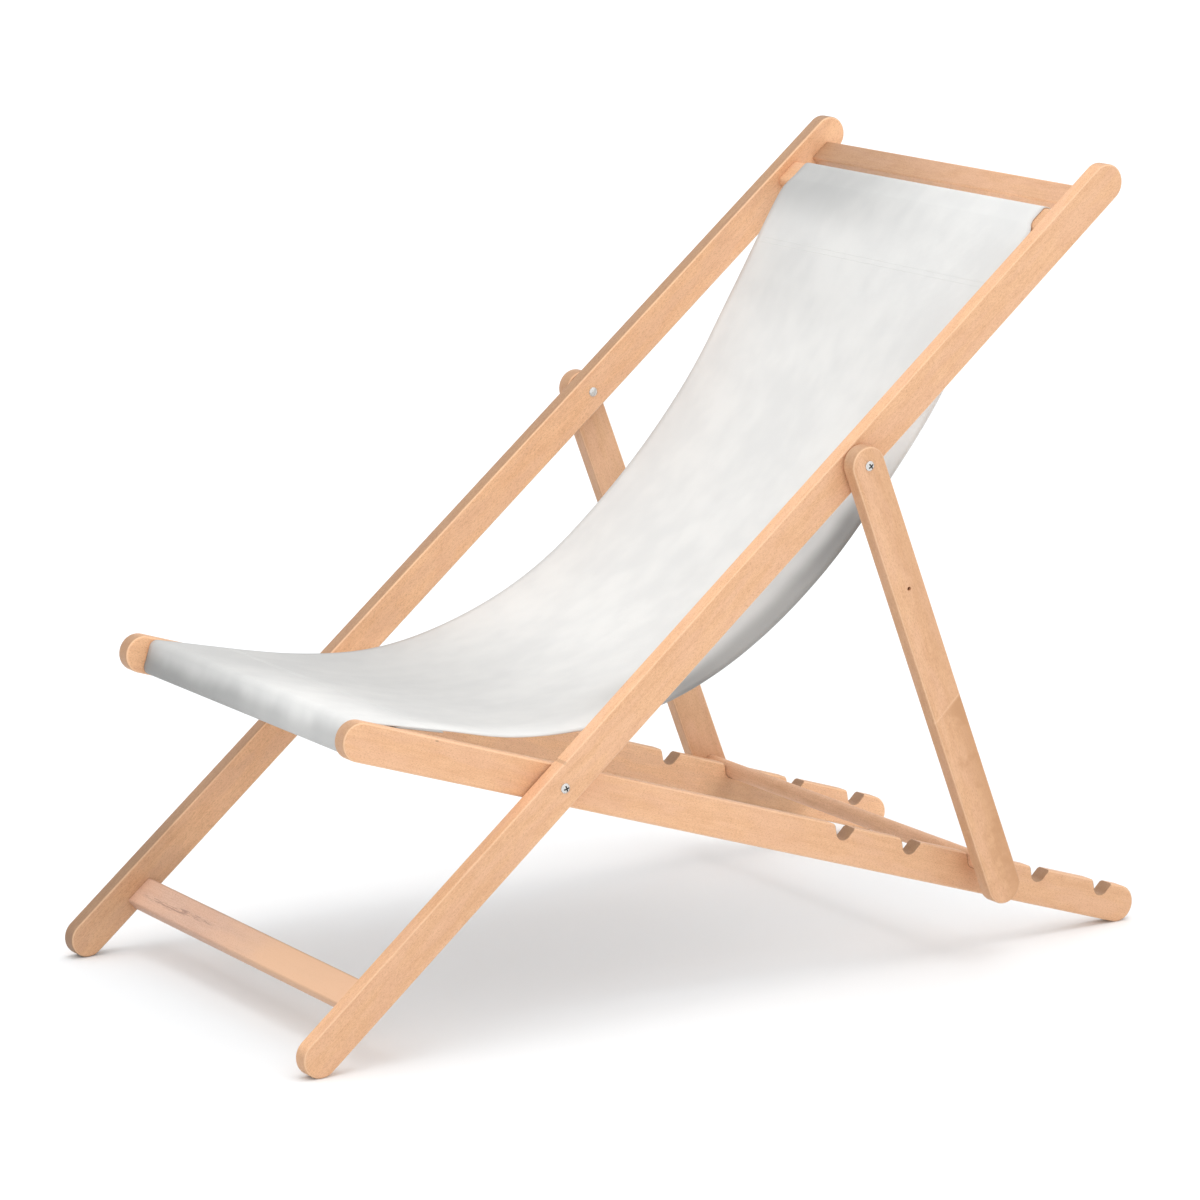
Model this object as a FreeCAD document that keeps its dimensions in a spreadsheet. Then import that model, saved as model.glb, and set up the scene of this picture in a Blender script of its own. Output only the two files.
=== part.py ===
import FreeCAD, Part
import math
import os
import Sketcher

# A folding deck chair. Two wooden frames cross at a pivot, a third one props the back
# from behind, and its bar rests in one of the notches cut into the seat rails. A canvas
# sling hangs between a slat at the top of the back and one at the front of the seat.
# Y runs from the feet of the back to the rear, Z is up and X = 0 is the middle plane.
# The left side is the sitter's left, at plus X. Lengths are in mm and angles in degrees.

doc = FreeCAD.newDocument("DeckChair")
sizes = doc.addObject("Spreadsheet::Sheet", "Sizes")

DRIVING = [
    ("rail_height", "42", "height of every side rail, which is also the width of its round ends"),
    ("rail_thickness", "20", "thickness of every side rail, across the chair"),
    ("rail_chamfer", "2", "bevel along all edges of the side rails"),
    ("back_span", "1300", "back rail, between the centres of its round ends"),
    ("seat_span", "1039", "seat rail, between the centres of its round ends"),
    ("leg_span", "528", "prop leg, from its pivot to the centre of its round foot"),
    ("seat_opening", "465", "clear width between the seat rails"),
    ("frame_gap", "3", "gap between two frames, filled by a washer at each pivot"),
    ("back_pivot_at", "384.5", "main pivot along the back rail, from the centre of the lower end"),
    ("seat_pivot_at", "243.5", "main pivot along the seat rail, from the centre of the front end"),
    ("prop_pivot_at", "867", "prop pivot along the back rail, from the centre of the lower end"),
    ("bar_inset", "22", "prop bar, from the centre of the prop leg's round foot"),
    ("bar_diameter", "19", "prop bar"),
    ("bar_socket", "12", "depth to which the prop bar enters each leg"),
    ("bar_chamfer", "1", "chamfer at the ends of the prop bar"),
    ("leg_hole_at", "150.5", "small hole in each prop leg, from the pivot"),
    ("leg_hole_diameter", "4.5", "small hole in each prop leg"),
    ("leg_hole_depth", "10", "depth of that hole from the outer face"),
    ("notch_count", "5", "notches in each seat rail"),
    ("notch_held", "3", "the notch that the bar rests in, counted from the pivot"),
    ("first_notch_at", "631", "first notch along the seat rail, from the centre of the front end"),
    ("notch_pitch", "94", "distance from one notch to the next"),
    ("notch_depth", "15.5", "depth of a notch below the top edge of the rail"),
    ("notch_clearance", "0.2", "gap between the bar and the round bottom of its notch"),
    ("notch_flare", "28", "lean of the notch walls outwards"),
    ("notch_lip", "1.5", "radius of the lips of a notch"),
    ("slat_width", "36", "cross slats but the top one, wide way"),
    ("slat_thickness", "16", "cross slats but the top one, narrow way"),
    ("top_slat_width", "30", "top slat, wide way"),
    ("top_slat_thickness", "14", "top slat, narrow way"),
    ("slat_rounding", "7", "radius along the edges of the slats inside the canvas"),
    ("top_rounding", "3", "radius along the edges of the top slat"),
    ("foot_rounding", "3", "radius along the edges of the foot slat"),
    ("tenon_width", "24", "stub tenons, wide way"),
    ("tenon_thickness", "8", "stub tenons, narrow way"),
    ("tenon_length", "12", "stub tenons, past the shoulder"),
    ("tenon_clearance", "0.1", "gap round a tenon, or round the bar in its socket"),
    ("top_slat_inset", "22", "centre of the top slat, from the centre of the rail's upper end"),
    ("top_slat_drop", "10", "centre of the top slat, behind the centre line of the rail"),
    ("sling_slat_below", "50", "centre of the upper sling slat, below the centre of the top slat"),
    ("sling_slat_rise", "3", "centre of the upper sling slat, before the centre line of the rail"),
    ("foot_slat_at", "79.5", "centre of the foot slat, from the centre of the rail's lower end"),
    ("foot_slat_drop", "11", "centre of the foot slat, behind the centre line of the rail"),
    ("front_slat_at", "13", "centre of the front slat, from the centre of the seat rail's front end"),
    ("sleeve_diameter", "8", "outside of the sleeve that each pivot turns on"),
    ("sleeve_wall", "1", "wall of that sleeve"),
    ("sleeve_short", "1", "how far the sleeve ends before the head of the bolt"),
    ("pivot_clearance", "0.05", "radial gap between the sleeve and the holes it passes through"),
    ("bolt_short", "13", "how far the bolt ends before the head of its nut"),
    ("head_diameter", "11", "heads of the bolts and sleeve nuts"),
    ("head_height", "3", "height of a head"),
    ("washer_diameter", "18", "washers between the frames"),
    ("sling_width", "452", "canvas, across the chair"),
    ("sling_thickness", "1.5", "canvas"),
    ("sling_clearance", "0.3", "gap between the canvas and the slats it wraps"),
    ("sling_leave_angle", "12.7", "slope of the canvas down from the front slat"),
    ("sling_bend_angle", "39", "slope where the seat bend passes into the back bend"),
    ("sling_back_angle", "57.5", "slope of the canvas up the back"),
    ("sling_arrive_angle", "5", "slope of the canvas to the back rails where it meets its slat"),
    ("seat_bend_radius", "470", "hollow of the seat"),
    ("back_bend_radius", "900", "hollow of the back"),
    ("top_bend_radius", "150", "bend over the hem near the top"),
    ("front_hem_run", "20", "straight stretch of the front hem below the slat"),
    ("front_hem_climb", "72", "length over which the front hem climbs to the sheet"),
    ("top_hem_radius", "60", "bend with which the top hem meets the sheet"),
    ("hem_flat", "12", "stretch of each hem sewn flat to the sheet"),
]

# The three frames stand as two triangles. In the first, the main pivot, the prop pivot and
# the bar give the angle between back and seat. In the second, both frames reach the floor.
DERIVED = [
    ("rail_radius", "=rail_height / 2", "round ends of the rails"),
    ("bar_radius", "=bar_diameter / 2", "prop bar"),
    ("bar_at", "=leg_span - bar_inset", "prop bar along the prop leg, from the pivot"),
    ("notch_radius", "=bar_radius + notch_clearance", "round bottom of a notch"),
    ("notch_rise", "=rail_radius - notch_depth + notch_radius", "bar above the seat rail's centre line"),
    ("held_notch_at", "=first_notch_at + (notch_held - 1) * notch_pitch", "bar along the seat rail"),
    ("pivots_apart", "=prop_pivot_at - back_pivot_at", "main pivot to prop pivot"),
    ("bar_reach", "=held_notch_at - seat_pivot_at", "main pivot to bar, along the seat rail"),
    ("bar_apart", "=sqrt(bar_reach ^ 2 + notch_rise ^ 2)", "main pivot to bar"),
    ("bar_angle", "=atan(notch_rise / bar_reach)", "bar above the seat rail, seen from the pivot"),
    ("corner_cosine",
     "=(pivots_apart ^ 2 + bar_apart ^ 2 - bar_at ^ 2) / (2 * pivots_apart * bar_apart)",
     "cosine law at the main pivot"),
    ("cross_angle", "=acos(corner_cosine) + bar_angle", "back rail to seat rail"),
    ("rear_reach", "=seat_span - seat_pivot_at", "main pivot to the rear end of the seat rail"),
    ("back_slope",
     "=atan(rear_reach * sin(cross_angle) / (back_pivot_at + rear_reach * cos(cross_angle)))",
     "back rails above the floor"),
    ("seat_slope", "=cross_angle - back_slope", "seat rails, falling to the rear"),
    ("back_foot_y", "=-(back_pivot_at * cos(back_slope) + rear_reach * cos(seat_slope)) / 2",
     "lower end of the back rails, so that the chair's box is centred"),
    ("pivot_y", "=back_foot_y + back_pivot_at * cos(back_slope)", "main pivot"),
    ("pivot_z", "=rail_radius + back_pivot_at * sin(back_slope)", "main pivot"),
    ("seat_front_y", "=pivot_y - seat_pivot_at * cos(seat_slope)", "front end of the seat rails"),
    ("seat_front_z", "=pivot_z + seat_pivot_at * sin(seat_slope)", "front end of the seat rails"),
    ("prop_y", "=back_foot_y + prop_pivot_at * cos(back_slope)", "prop pivot"),
    ("prop_z", "=rail_radius + prop_pivot_at * sin(back_slope)", "prop pivot"),
    ("bar_y", "=pivot_y + bar_reach * cos(seat_slope) + notch_rise * sin(seat_slope)", "prop bar"),
    ("bar_z", "=pivot_z - bar_reach * sin(seat_slope) + notch_rise * cos(seat_slope)", "prop bar"),
    ("leg_slope", "=atan((prop_z - bar_z) / (bar_y - prop_y))", "prop legs, falling to the rear"),
    ("seat_inner", "=seat_opening / 2", "inner faces of the seat rails"),
    ("back_inner", "=seat_inner + rail_thickness + frame_gap", "inner faces of the back rails"),
    ("leg_inner", "=back_inner + rail_thickness + frame_gap", "inner faces of the prop legs"),
    ("grip", "=2 * rail_thickness + frame_gap", "two rails and their washer, under one bolt"),
    ("sleeve_radius", "=sleeve_diameter / 2", "pivot sleeve"),
    ("pivot_hole_radius", "=sleeve_radius + pivot_clearance", "pivot holes in rails and washers"),
    ("thread_radius", "=sleeve_radius - sleeve_wall", "bore of the sleeve"),
    ("shank_radius", "=thread_radius - pivot_clearance", "shank of the bolt"),
    ("sleeve_length", "=grip - sleeve_short", "sleeve below the head of the nut"),
    ("bolt_length", "=grip - bolt_short", "bolt, below its head"),
    ("bore_end", "=bolt_short - pivot_clearance", "from the nut's seat to the bottom of its bore"),
    ("tenon_radius", "=tenon_thickness / 2", "round edges of a tenon"),
    ("tenon_span", "=tenon_width - tenon_thickness", "between the centres of a tenon's round edges"),
    ("mortise_radius", "=tenon_radius + tenon_clearance", "round edges of a mortise"),
    ("mortise_depth", "=tenon_length + tenon_clearance", "mortises in the inner faces"),
    ("top_slat_at", "=back_span - top_slat_inset", "centre of the top slat along the back rail"),
    ("sling_slat_at", "=top_slat_at - sling_slat_below", "centre of the upper sling slat"),
]

NAME_COLUMN, VALUE_COLUMN, NOTE_COLUMN = "A", "B", "C"
for row, (name, text, note) in enumerate(DRIVING + DERIVED, start=1):
    sizes.set(NAME_COLUMN + str(row), name)
    sizes.set(VALUE_COLUMN + str(row), text)
    sizes.setAlias(VALUE_COLUMN + str(row), name)
    sizes.set(NOTE_COLUMN + str(row), note)
doc.recompute()


def evaluate(expression):
    """The value of an expression over the sheet, as a plain number."""
    result = sizes.evalExpression(expression)
    return float(getattr(result, "Value", result))


def size(name):
    return evaluate("Sizes." + name)


# Frames of reference. Each one maps x along a rail, y across it and z to plus X, so a
# sketch in a body's own XY plane is the side view of that frame.

def frame_placement(across, y_expression, z_expression, pitch_expression):
    """Placement of a side view: its origin, and its x axis turned down by the pitch."""
    return "placement(vector(%s; %s; %s); rotation(90; %s; 90))" % (
        across, y_expression, z_expression, pitch_expression)


def back_frame_at(across):
    return frame_placement(across, "Sizes.back_foot_y", "Sizes.rail_radius", "-Sizes.back_slope")


def seat_frame_at(across):
    return frame_placement(across, "Sizes.seat_front_y", "Sizes.seat_front_z", "Sizes.seat_slope")


def leg_frame_at(across):
    return frame_placement(across, "Sizes.prop_y", "Sizes.prop_z", "Sizes.leg_slope")


nodes = []


def new_body(name, placement_expression):
    body = doc.addObject("PartDesign::Body", name)
    body.Label = name
    body.setExpression("Placement", placement_expression)
    nodes.append(body)
    return body


def origin_feature(body, role):
    return next(item for item in body.Origin.OriginFeatures if item.Role == role)


def new_sketch(body, name, x="0", y="0", z="0", plane="XY_Plane"):
    """A sketch on one of the body's own planes, moved to a point given by expressions."""
    sketch = body.newObject("Sketcher::SketchObject", body.Name + "_" + name)
    sketch.AttachmentSupport = [(origin_feature(body, plane), "")]
    sketch.MapMode = "FlatFace"
    for axis, expression in zip("xyz", (x, y, z)):
        sketch.setExpression("AttachmentOffset.Base." + axis, expression)
    return sketch


# The points of a sketched edge, as constraints number them.
START, END, CENTRE = range(1, 4)
H_AXIS, V_AXIS = range(-1, -3, -1)
ORIGIN = (H_AXIS, START)
UP = FreeCAD.Vector(0, 0, 1)
RIGHT_ANGLE = 90
FULL_ANGLE = 4 * RIGHT_ANGLE


def constrain(sketch, *arguments):
    return sketch.addConstraint(Sketcher.Constraint(*arguments))


def drive(sketch, expression, *arguments):
    """A constraint whose value follows an expression."""
    value = evaluate(expression)
    if arguments[0] == "Angle":
        value = math.radians(value)
    index = constrain(sketch, *arguments, value)
    sketch.setExpression("Constraints[%d]" % index, expression)


def add_line(sketch, start, end):
    return sketch.addGeometry(Part.LineSegment(FreeCAD.Vector(*start), FreeCAD.Vector(*end)), False)


def add_arc(sketch, centre, radius, from_angle, to_angle):
    circle = Part.Circle(FreeCAD.Vector(*centre), UP, radius)
    arc = Part.ArcOfCircle(circle, math.radians(from_angle), math.radians(to_angle))
    return sketch.addGeometry(arc, False)


def draw_circle(sketch, radius):
    circle = sketch.addGeometry(Part.Circle(FreeCAD.Vector(), UP, evaluate(radius)), False)
    constrain(sketch, "Coincident", circle, CENTRE, *ORIGIN)
    drive(sketch, radius, "Radius", circle)


def draw_slot(sketch, span, radius, upright=False):
    """Half circles joined by tangents, from the origin along x, or along y when upright."""
    length, rounding = evaluate(span), evaluate(radius)
    if upright:
        first = add_arc(sketch, (0, 0), rounding, 180, 360)
        side = add_line(sketch, (rounding, 0), (rounding, length))
        last = add_arc(sketch, (0, length), rounding, 0, 180)
        return_side = add_line(sketch, (-rounding, length), (-rounding, 0))
    else:
        first = add_arc(sketch, (0, 0), rounding, 90, 270)
        side = add_line(sketch, (0, -rounding), (length, -rounding))
        last = add_arc(sketch, (length, 0), rounding, -90, 90)
        return_side = add_line(sketch, (length, rounding), (0, rounding))
    loop = [first, side, last, return_side]
    for piece, following in zip(loop, loop[1:] + loop[:1]):
        constrain(sketch, "Tangent", piece, END, following, START)
    constrain(sketch, "Coincident", first, CENTRE, *ORIGIN)
    constrain(sketch, "Equal", first, last)
    constrain(sketch, "Vertical" if upright else "Horizontal", side)
    drive(sketch, radius, "Radius", first)
    drive(sketch, span, "DistanceY" if upright else "DistanceX", first, CENTRE, last, CENTRE)


def draw_rectangle(sketch, width, height):
    """A rectangle centred on the origin."""
    half_width, half_height = evaluate(width) / 2, evaluate(height) / 2
    corners = [(-half_width, -half_height), (half_width, -half_height),
               (half_width, half_height), (-half_width, half_height)]
    sides = [add_line(sketch, *pair) for pair in zip(corners, corners[1:] + corners[:1])]
    for side, following in zip(sides, sides[1:] + sides[:1]):
        constrain(sketch, "Coincident", side, END, following, START)
    for side in sides[0::2]:
        constrain(sketch, "Horizontal", side)
    for side in sides[1::2]:
        constrain(sketch, "Vertical", side)
    constrain(sketch, "Symmetric", sides[0], START, sides[2], START, *ORIGIN)
    drive(sketch, width, "DistanceX", sides[0], START, sides[0], END)
    drive(sketch, height, "DistanceY", sides[1], START, sides[1], END)


def draw_notch(sketch):
    """A notch open to the top: round bottom about the origin, leaning walls, round lips."""
    radius, lip = size("notch_radius"), size("notch_lip")
    lean = math.radians(size("notch_flare"))
    top = size("rail_radius") - size("notch_rise")
    above = top + lip
    wall_start = (radius * math.cos(lean), -radius * math.sin(lean))
    lip_y = top - lip
    wall_end_y = lip_y + lip * math.sin(lean)
    wall_end_x = wall_start[0] + (wall_end_y - wall_start[1]) * math.tan(lean)
    lip_x = wall_end_x + lip * math.cos(lean)
    flare = size("notch_flare")
    bottom = add_arc(sketch, (0, 0), radius, 180 + flare, 360 - flare)
    right_wall = add_line(sketch, wall_start, (wall_end_x, wall_end_y))
    right_lip = add_arc(sketch, (lip_x, lip_y), lip, 90, 180 - flare)
    right_side = add_line(sketch, (lip_x, top), (lip_x, above))
    cover = add_line(sketch, (lip_x, above), (-lip_x, above))
    left_side = add_line(sketch, (-lip_x, above), (-lip_x, top))
    left_lip = add_arc(sketch, (-lip_x, lip_y), lip, flare, 90)
    left_wall = add_line(sketch, (-wall_start[0], wall_start[1]), (-wall_end_x, wall_end_y))
    constrain(sketch, "Coincident", bottom, CENTRE, *ORIGIN)
    constrain(sketch, "Tangent", bottom, END, right_wall, START)
    constrain(sketch, "Tangent", right_wall, END, right_lip, END)
    constrain(sketch, "Coincident", right_lip, START, right_side, START)
    constrain(sketch, "Coincident", right_side, END, cover, START)
    constrain(sketch, "Coincident", cover, END, left_side, START)
    constrain(sketch, "Coincident", left_side, END, left_lip, END)
    constrain(sketch, "Tangent", left_lip, START, left_wall, END)
    constrain(sketch, "Tangent", left_wall, START, bottom, START)
    constrain(sketch, "Vertical", right_lip, CENTRE, right_lip, START)
    constrain(sketch, "Vertical", left_lip, CENTRE, left_lip, END)
    constrain(sketch, "Vertical", right_side)
    constrain(sketch, "Vertical", left_side)
    constrain(sketch, "Horizontal", cover)
    constrain(sketch, "Equal", right_lip, left_lip)
    drive(sketch, "Sizes.notch_radius", "Radius", bottom)
    drive(sketch, "Sizes.notch_lip", "Radius", right_lip)
    drive(sketch, "90 - Sizes.notch_flare", "Angle", right_wall)
    drive(sketch, "90 + Sizes.notch_flare", "Angle", left_wall)
    rail_top = "Sizes.rail_radius - Sizes.notch_rise"
    drive(sketch, rail_top, "DistanceY", *ORIGIN, right_side, START)
    drive(sketch, rail_top, "DistanceY", *ORIGIN, left_side, END)
    drive(sketch, "Sizes.notch_lip", "DistanceY", right_side, START, right_side, END)


def pad(body, sketch, length, symmetric=False):
    feature = body.newObject("PartDesign::Pad", sketch.Name + "_pad")
    feature.Profile = sketch
    feature.SideType = "Symmetric" if symmetric else "One side"
    feature.setExpression("Length", length)
    doc.recompute()
    return feature


def cut(body, sketch, depth=None, reverse=False):
    """A pocket, right through when no depth is given, that must take material away."""
    before = body.Shape.Volume
    feature = body.newObject("PartDesign::Pocket", sketch.Name + "_cut")
    feature.Profile = sketch
    feature.Reversed = reverse
    if depth is None:
        feature.Type = "ThroughAll"
    else:
        feature.setExpression("Length", depth)
    doc.recompute()
    if body.Shape.Volume >= before:
        raise RuntimeError(sketch.Name + " cuts nothing")
    return feature


def edges_of(base, wanted):
    """The base feature and the names of those of its edges that the test function picks."""
    edges = enumerate(base.Shape.Edges, start=1)
    return base, ["Edge%d" % number for number, edge in edges if wanted(edge)]


def round_edges(body, base, wanted, radius):
    feature = body.newObject("PartDesign::Fillet", body.Name + "_rounding")
    feature.Base = edges_of(base, wanted)
    feature.setExpression("Radius", radius)
    doc.recompute()


def bevel_edges(body, base, wanted, setback):
    feature = body.newObject("PartDesign::Chamfer", body.Name + "_bevel")
    feature.Base = edges_of(base, wanted)
    feature.setExpression("Size", setback)
    doc.recompute()


TOUCH = 0.001


def is_level(edge):
    """An edge of a side view's outline, at one height above the sketch plane."""
    return edge.BoundBox.ZLength < TOUCH


def is_across(edge):
    """A straight edge that runs across the chair."""
    box = edge.BoundBox
    return box.XLength < TOUCH and box.YLength < TOUCH < box.ZLength


# Side rails. A left rail grows from its inner face to plus X, and a right rail from its
# outer face, so the inner face is at the sketch plane on the left and above it on the right.

SIDES = ("left", "right")


def across_of(side, inner):
    """X of a rail's lower face: its inner face on the left, its outer face on the right."""
    return inner if side == "left" else "-%s - Sizes.rail_thickness" % inner


def inner_plane(side):
    return "0" if side == "left" else "Sizes.rail_thickness"


def outer_plane(side):
    return "Sizes.rail_thickness" if side == "left" else "0"


def side_rail(name, placement_expression, span):
    body = new_body(name, placement_expression)
    outline = new_sketch(body, "outline")
    draw_slot(outline, span, "Sizes.rail_radius")
    plank = pad(body, outline, "Sizes.rail_thickness")
    bevel_edges(body, plank, is_level, "Sizes.rail_chamfer")
    return body


def pivot_hole(body, name, at):
    hole = new_sketch(body, name, x=at)
    draw_circle(hole, "Sizes.pivot_hole_radius")
    cut(body, hole, reverse=True)


def mortise(body, name, side, x, y, upright=False):
    """A blind slot in the inner face, centred on a slat."""
    half = "Sizes.tenon_span / 2"
    first = {"x": x, "y": "%s - %s" % (y, half)} if upright else {"x": "%s - %s" % (x, half), "y": y}
    slot = new_sketch(body, name, z=inner_plane(side), **first)
    draw_slot(slot, "Sizes.tenon_span", "Sizes.mortise_radius", upright)
    cut(body, slot, "Sizes.mortise_depth", reverse=side == "left")


def back_rail(side):
    body = side_rail("back_rail_" + side, back_frame_at(across_of(side, "Sizes.back_inner")),
                     "Sizes.back_span")
    pivot_hole(body, "main_pivot", "Sizes.back_pivot_at")
    pivot_hole(body, "prop_pivot", "Sizes.prop_pivot_at")
    mortise(body, "top_mortise", side, "Sizes.top_slat_at", "-Sizes.top_slat_drop")
    mortise(body, "sling_mortise", side, "Sizes.sling_slat_at", "Sizes.sling_slat_rise")
    mortise(body, "foot_mortise", side, "Sizes.foot_slat_at", "-Sizes.foot_slat_drop")


def seat_rail(side):
    body = side_rail("seat_rail_" + side, seat_frame_at(across_of(side, "Sizes.seat_inner")),
                     "Sizes.seat_span")
    pivot_hole(body, "main_pivot", "Sizes.seat_pivot_at")
    mortise(body, "front_mortise", side, "Sizes.front_slat_at", "0", upright=True)
    notch = new_sketch(body, "notch", x="Sizes.first_notch_at", y="Sizes.notch_rise")
    draw_notch(notch)
    first_cut = cut(body, notch, reverse=True)
    one_notch = body.Shape.Volume
    row = body.newObject("PartDesign::LinearPattern", body.Name + "_notches")
    row.Originals = [first_cut]
    row.Direction = (origin_feature(body, "X_Axis"), [""])
    row.setExpression("Length", "Sizes.notch_pitch * (Sizes.notch_count - 1)")
    row.setExpression("Occurrences", "Sizes.notch_count")
    body.Tip = row
    doc.recompute()
    if body.Shape.Volume >= one_notch:
        raise RuntimeError("the notches are not repeated")


def prop_leg(side):
    body = side_rail("prop_leg_" + side, leg_frame_at(across_of(side, "Sizes.leg_inner")),
                     "Sizes.leg_span")
    pivot_hole(body, "prop_pivot", "0")
    socket = new_sketch(body, "socket", x="Sizes.bar_at", z=inner_plane(side))
    draw_circle(socket, "Sizes.bar_radius + Sizes.tenon_clearance")
    cut(body, socket, "Sizes.bar_socket + Sizes.tenon_clearance", reverse=side == "left")
    small_hole = new_sketch(body, "small_hole", x="Sizes.leg_hole_at", z=outer_plane(side))
    draw_circle(small_hole, "Sizes.leg_hole_diameter / 2")
    cut(body, small_hole, "Sizes.leg_hole_depth", reverse=side == "right")


for side in SIDES:
    back_rail(side)
    seat_rail(side)
    prop_leg(side)


# Cross slats, each with a stub tenon at both ends.

SLAT = ("Sizes.slat_width", "Sizes.slat_thickness")
TOP_SLAT = ("Sizes.top_slat_width", "Sizes.top_slat_thickness")


def cross_slat(name, placement_expression, x, y, clear_width, stock, rounding, upright=False):
    """A slat of the given width and thickness, lying along the rail or standing across it."""
    body = new_body(name, placement_expression)
    section = new_sketch(body, "section", x=x, y=y)
    draw_rectangle(section, *(reversed(stock) if upright else stock))
    plank = pad(body, section, clear_width, symmetric=True)
    round_edges(body, plank, is_across, rounding)
    half = "Sizes.tenon_span / 2"
    first = {"x": x, "y": "%s - %s" % (y, half)} if upright else {"x": "%s - %s" % (x, half), "y": y}
    tenon = new_sketch(body, "tenon", **first)
    draw_slot(tenon, "Sizes.tenon_span", "Sizes.tenon_radius", upright)
    pad(body, tenon, clear_width + " + 2 * Sizes.tenon_length", symmetric=True)


BACK_CLEAR = "2 * Sizes.back_inner"
cross_slat("top_rail", back_frame_at("0"), "Sizes.top_slat_at", "-Sizes.top_slat_drop",
           BACK_CLEAR, TOP_SLAT, "Sizes.top_rounding")
cross_slat("sling_slat", back_frame_at("0"), "Sizes.sling_slat_at", "Sizes.sling_slat_rise",
           BACK_CLEAR, SLAT, "Sizes.slat_rounding")
cross_slat("foot_rail", back_frame_at("0"), "Sizes.foot_slat_at", "-Sizes.foot_slat_drop",
           BACK_CLEAR, SLAT, "Sizes.foot_rounding")
cross_slat("front_rail", seat_frame_at("0"), "Sizes.front_slat_at", "0",
           "Sizes.seat_opening", SLAT, "Sizes.slat_rounding", upright=True)


def prop_bar():
    body = new_body("prop_bar", leg_frame_at("0"))
    section = new_sketch(body, "section", x="Sizes.bar_at")
    draw_circle(section, "Sizes.bar_radius")
    dowel = pad(body, section, "2 * (Sizes.leg_inner + Sizes.bar_socket)", symmetric=True)
    bevel_edges(body, dowel, is_level, "Sizes.bar_chamfer")


prop_bar()


# Pivot hardware: a bolt outside, a sleeve nut inside and a washer in the gap. Each is turned
# about its own z axis, which points out of the wood at the head.

def spun(name, placement_expression, points):
    """A solid of revolution: a profile of (radius, height) expressions, closed on the axis."""
    body = new_body(name, placement_expression)
    sketch = new_sketch(body, "profile", plane="XZ_Plane")
    places = [(evaluate(radius), evaluate(height)) for radius, height in points]
    pieces = [add_line(sketch, *pair) for pair in zip(places, places[1:] + places[:1])]
    for piece, following in zip(pieces, pieces[1:] + pieces[:1]):
        constrain(sketch, "Coincident", piece, END, following, START)
    for piece, (radius, height), place in zip(pieces, points, places):
        if place[0] > 0:
            drive(sketch, radius, "DistanceX", *ORIGIN, piece, START)
        else:
            constrain(sketch, "PointOnObject", piece, START, V_AXIS)
        if place[1] > 0:
            drive(sketch, height, "DistanceY", *ORIGIN, piece, START)
        elif place[1] < 0:
            drive(sketch, "-(%s)" % height, "DistanceY", piece, START, *ORIGIN)
        else:
            constrain(sketch, "PointOnObject", piece, START, H_AXIS)
    turned = body.newObject("PartDesign::Revolution", name + "_turned")
    turned.Profile = sketch
    turned.ReferenceAxis = (sketch, ["V_Axis"])
    turned.Angle = FULL_ANGLE
    doc.recompute()


def outward(side, across, y_expression, z_expression, outwards=True):
    """Placement on a face at the given distance from the middle, z away from the wood."""
    sign = "" if side == "left" else "-"
    turn = RIGHT_ANGLE if (side == "left") == outwards else -RIGHT_ANGLE
    return "placement(vector(%s(%s); %s; %s); rotation(vector(0; 1; 0); %d))" % (
        sign, across, y_expression, z_expression, turn)


HEAD = [
    ("Sizes.head_diameter / 2", "0"),
    ("Sizes.head_diameter / 2", "Sizes.head_height"),
    ("0", "Sizes.head_height"),
]


def pivot_bolt(name, placement_expression):
    shank = [
        ("0", "-Sizes.bolt_length"),
        ("Sizes.shank_radius", "-Sizes.bolt_length"),
        ("Sizes.shank_radius", "0"),
    ]
    spun(name, placement_expression, shank + HEAD)


def sleeve_nut(name, placement_expression):
    sleeve = [
        ("0", "-Sizes.bore_end"),
        ("Sizes.thread_radius", "-Sizes.bore_end"),
        ("Sizes.thread_radius", "-Sizes.sleeve_length"),
        ("Sizes.sleeve_radius", "-Sizes.sleeve_length"),
        ("Sizes.sleeve_radius", "0"),
    ]
    spun(name, placement_expression, sleeve + HEAD)


def pivot_washer(name, placement_expression):
    body = new_body(name, placement_expression)
    ring = new_sketch(body, "ring")
    draw_circle(ring, "Sizes.washer_diameter / 2")
    draw_circle(ring, "Sizes.pivot_hole_radius")
    pad(body, ring, "Sizes.frame_gap")


PIVOTS = {
    "seat": ("Sizes.seat_inner", "Sizes.pivot_y", "Sizes.pivot_z"),
    "prop": ("Sizes.back_inner", "Sizes.prop_y", "Sizes.prop_z"),
}

for pivot, (inner, y_at, z_at) in PIVOTS.items():
    for side in SIDES:
        pivot_bolt("%s_bolt_%s" % (pivot, side), outward(side, inner + " + Sizes.grip", y_at, z_at))
        sleeve_nut("%s_nut_%s" % (pivot, side), outward(side, inner, y_at, z_at, outwards=False))
        pivot_washer("%s_washer_%s" % (pivot, side),
                     outward(side, inner + " + Sizes.rail_thickness", y_at, z_at))


# The canvas sling, in side view: a sheet of even thickness that follows lines and arcs,
# wraps both slats and comes back to itself in a hem, extruded across the chair.

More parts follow.
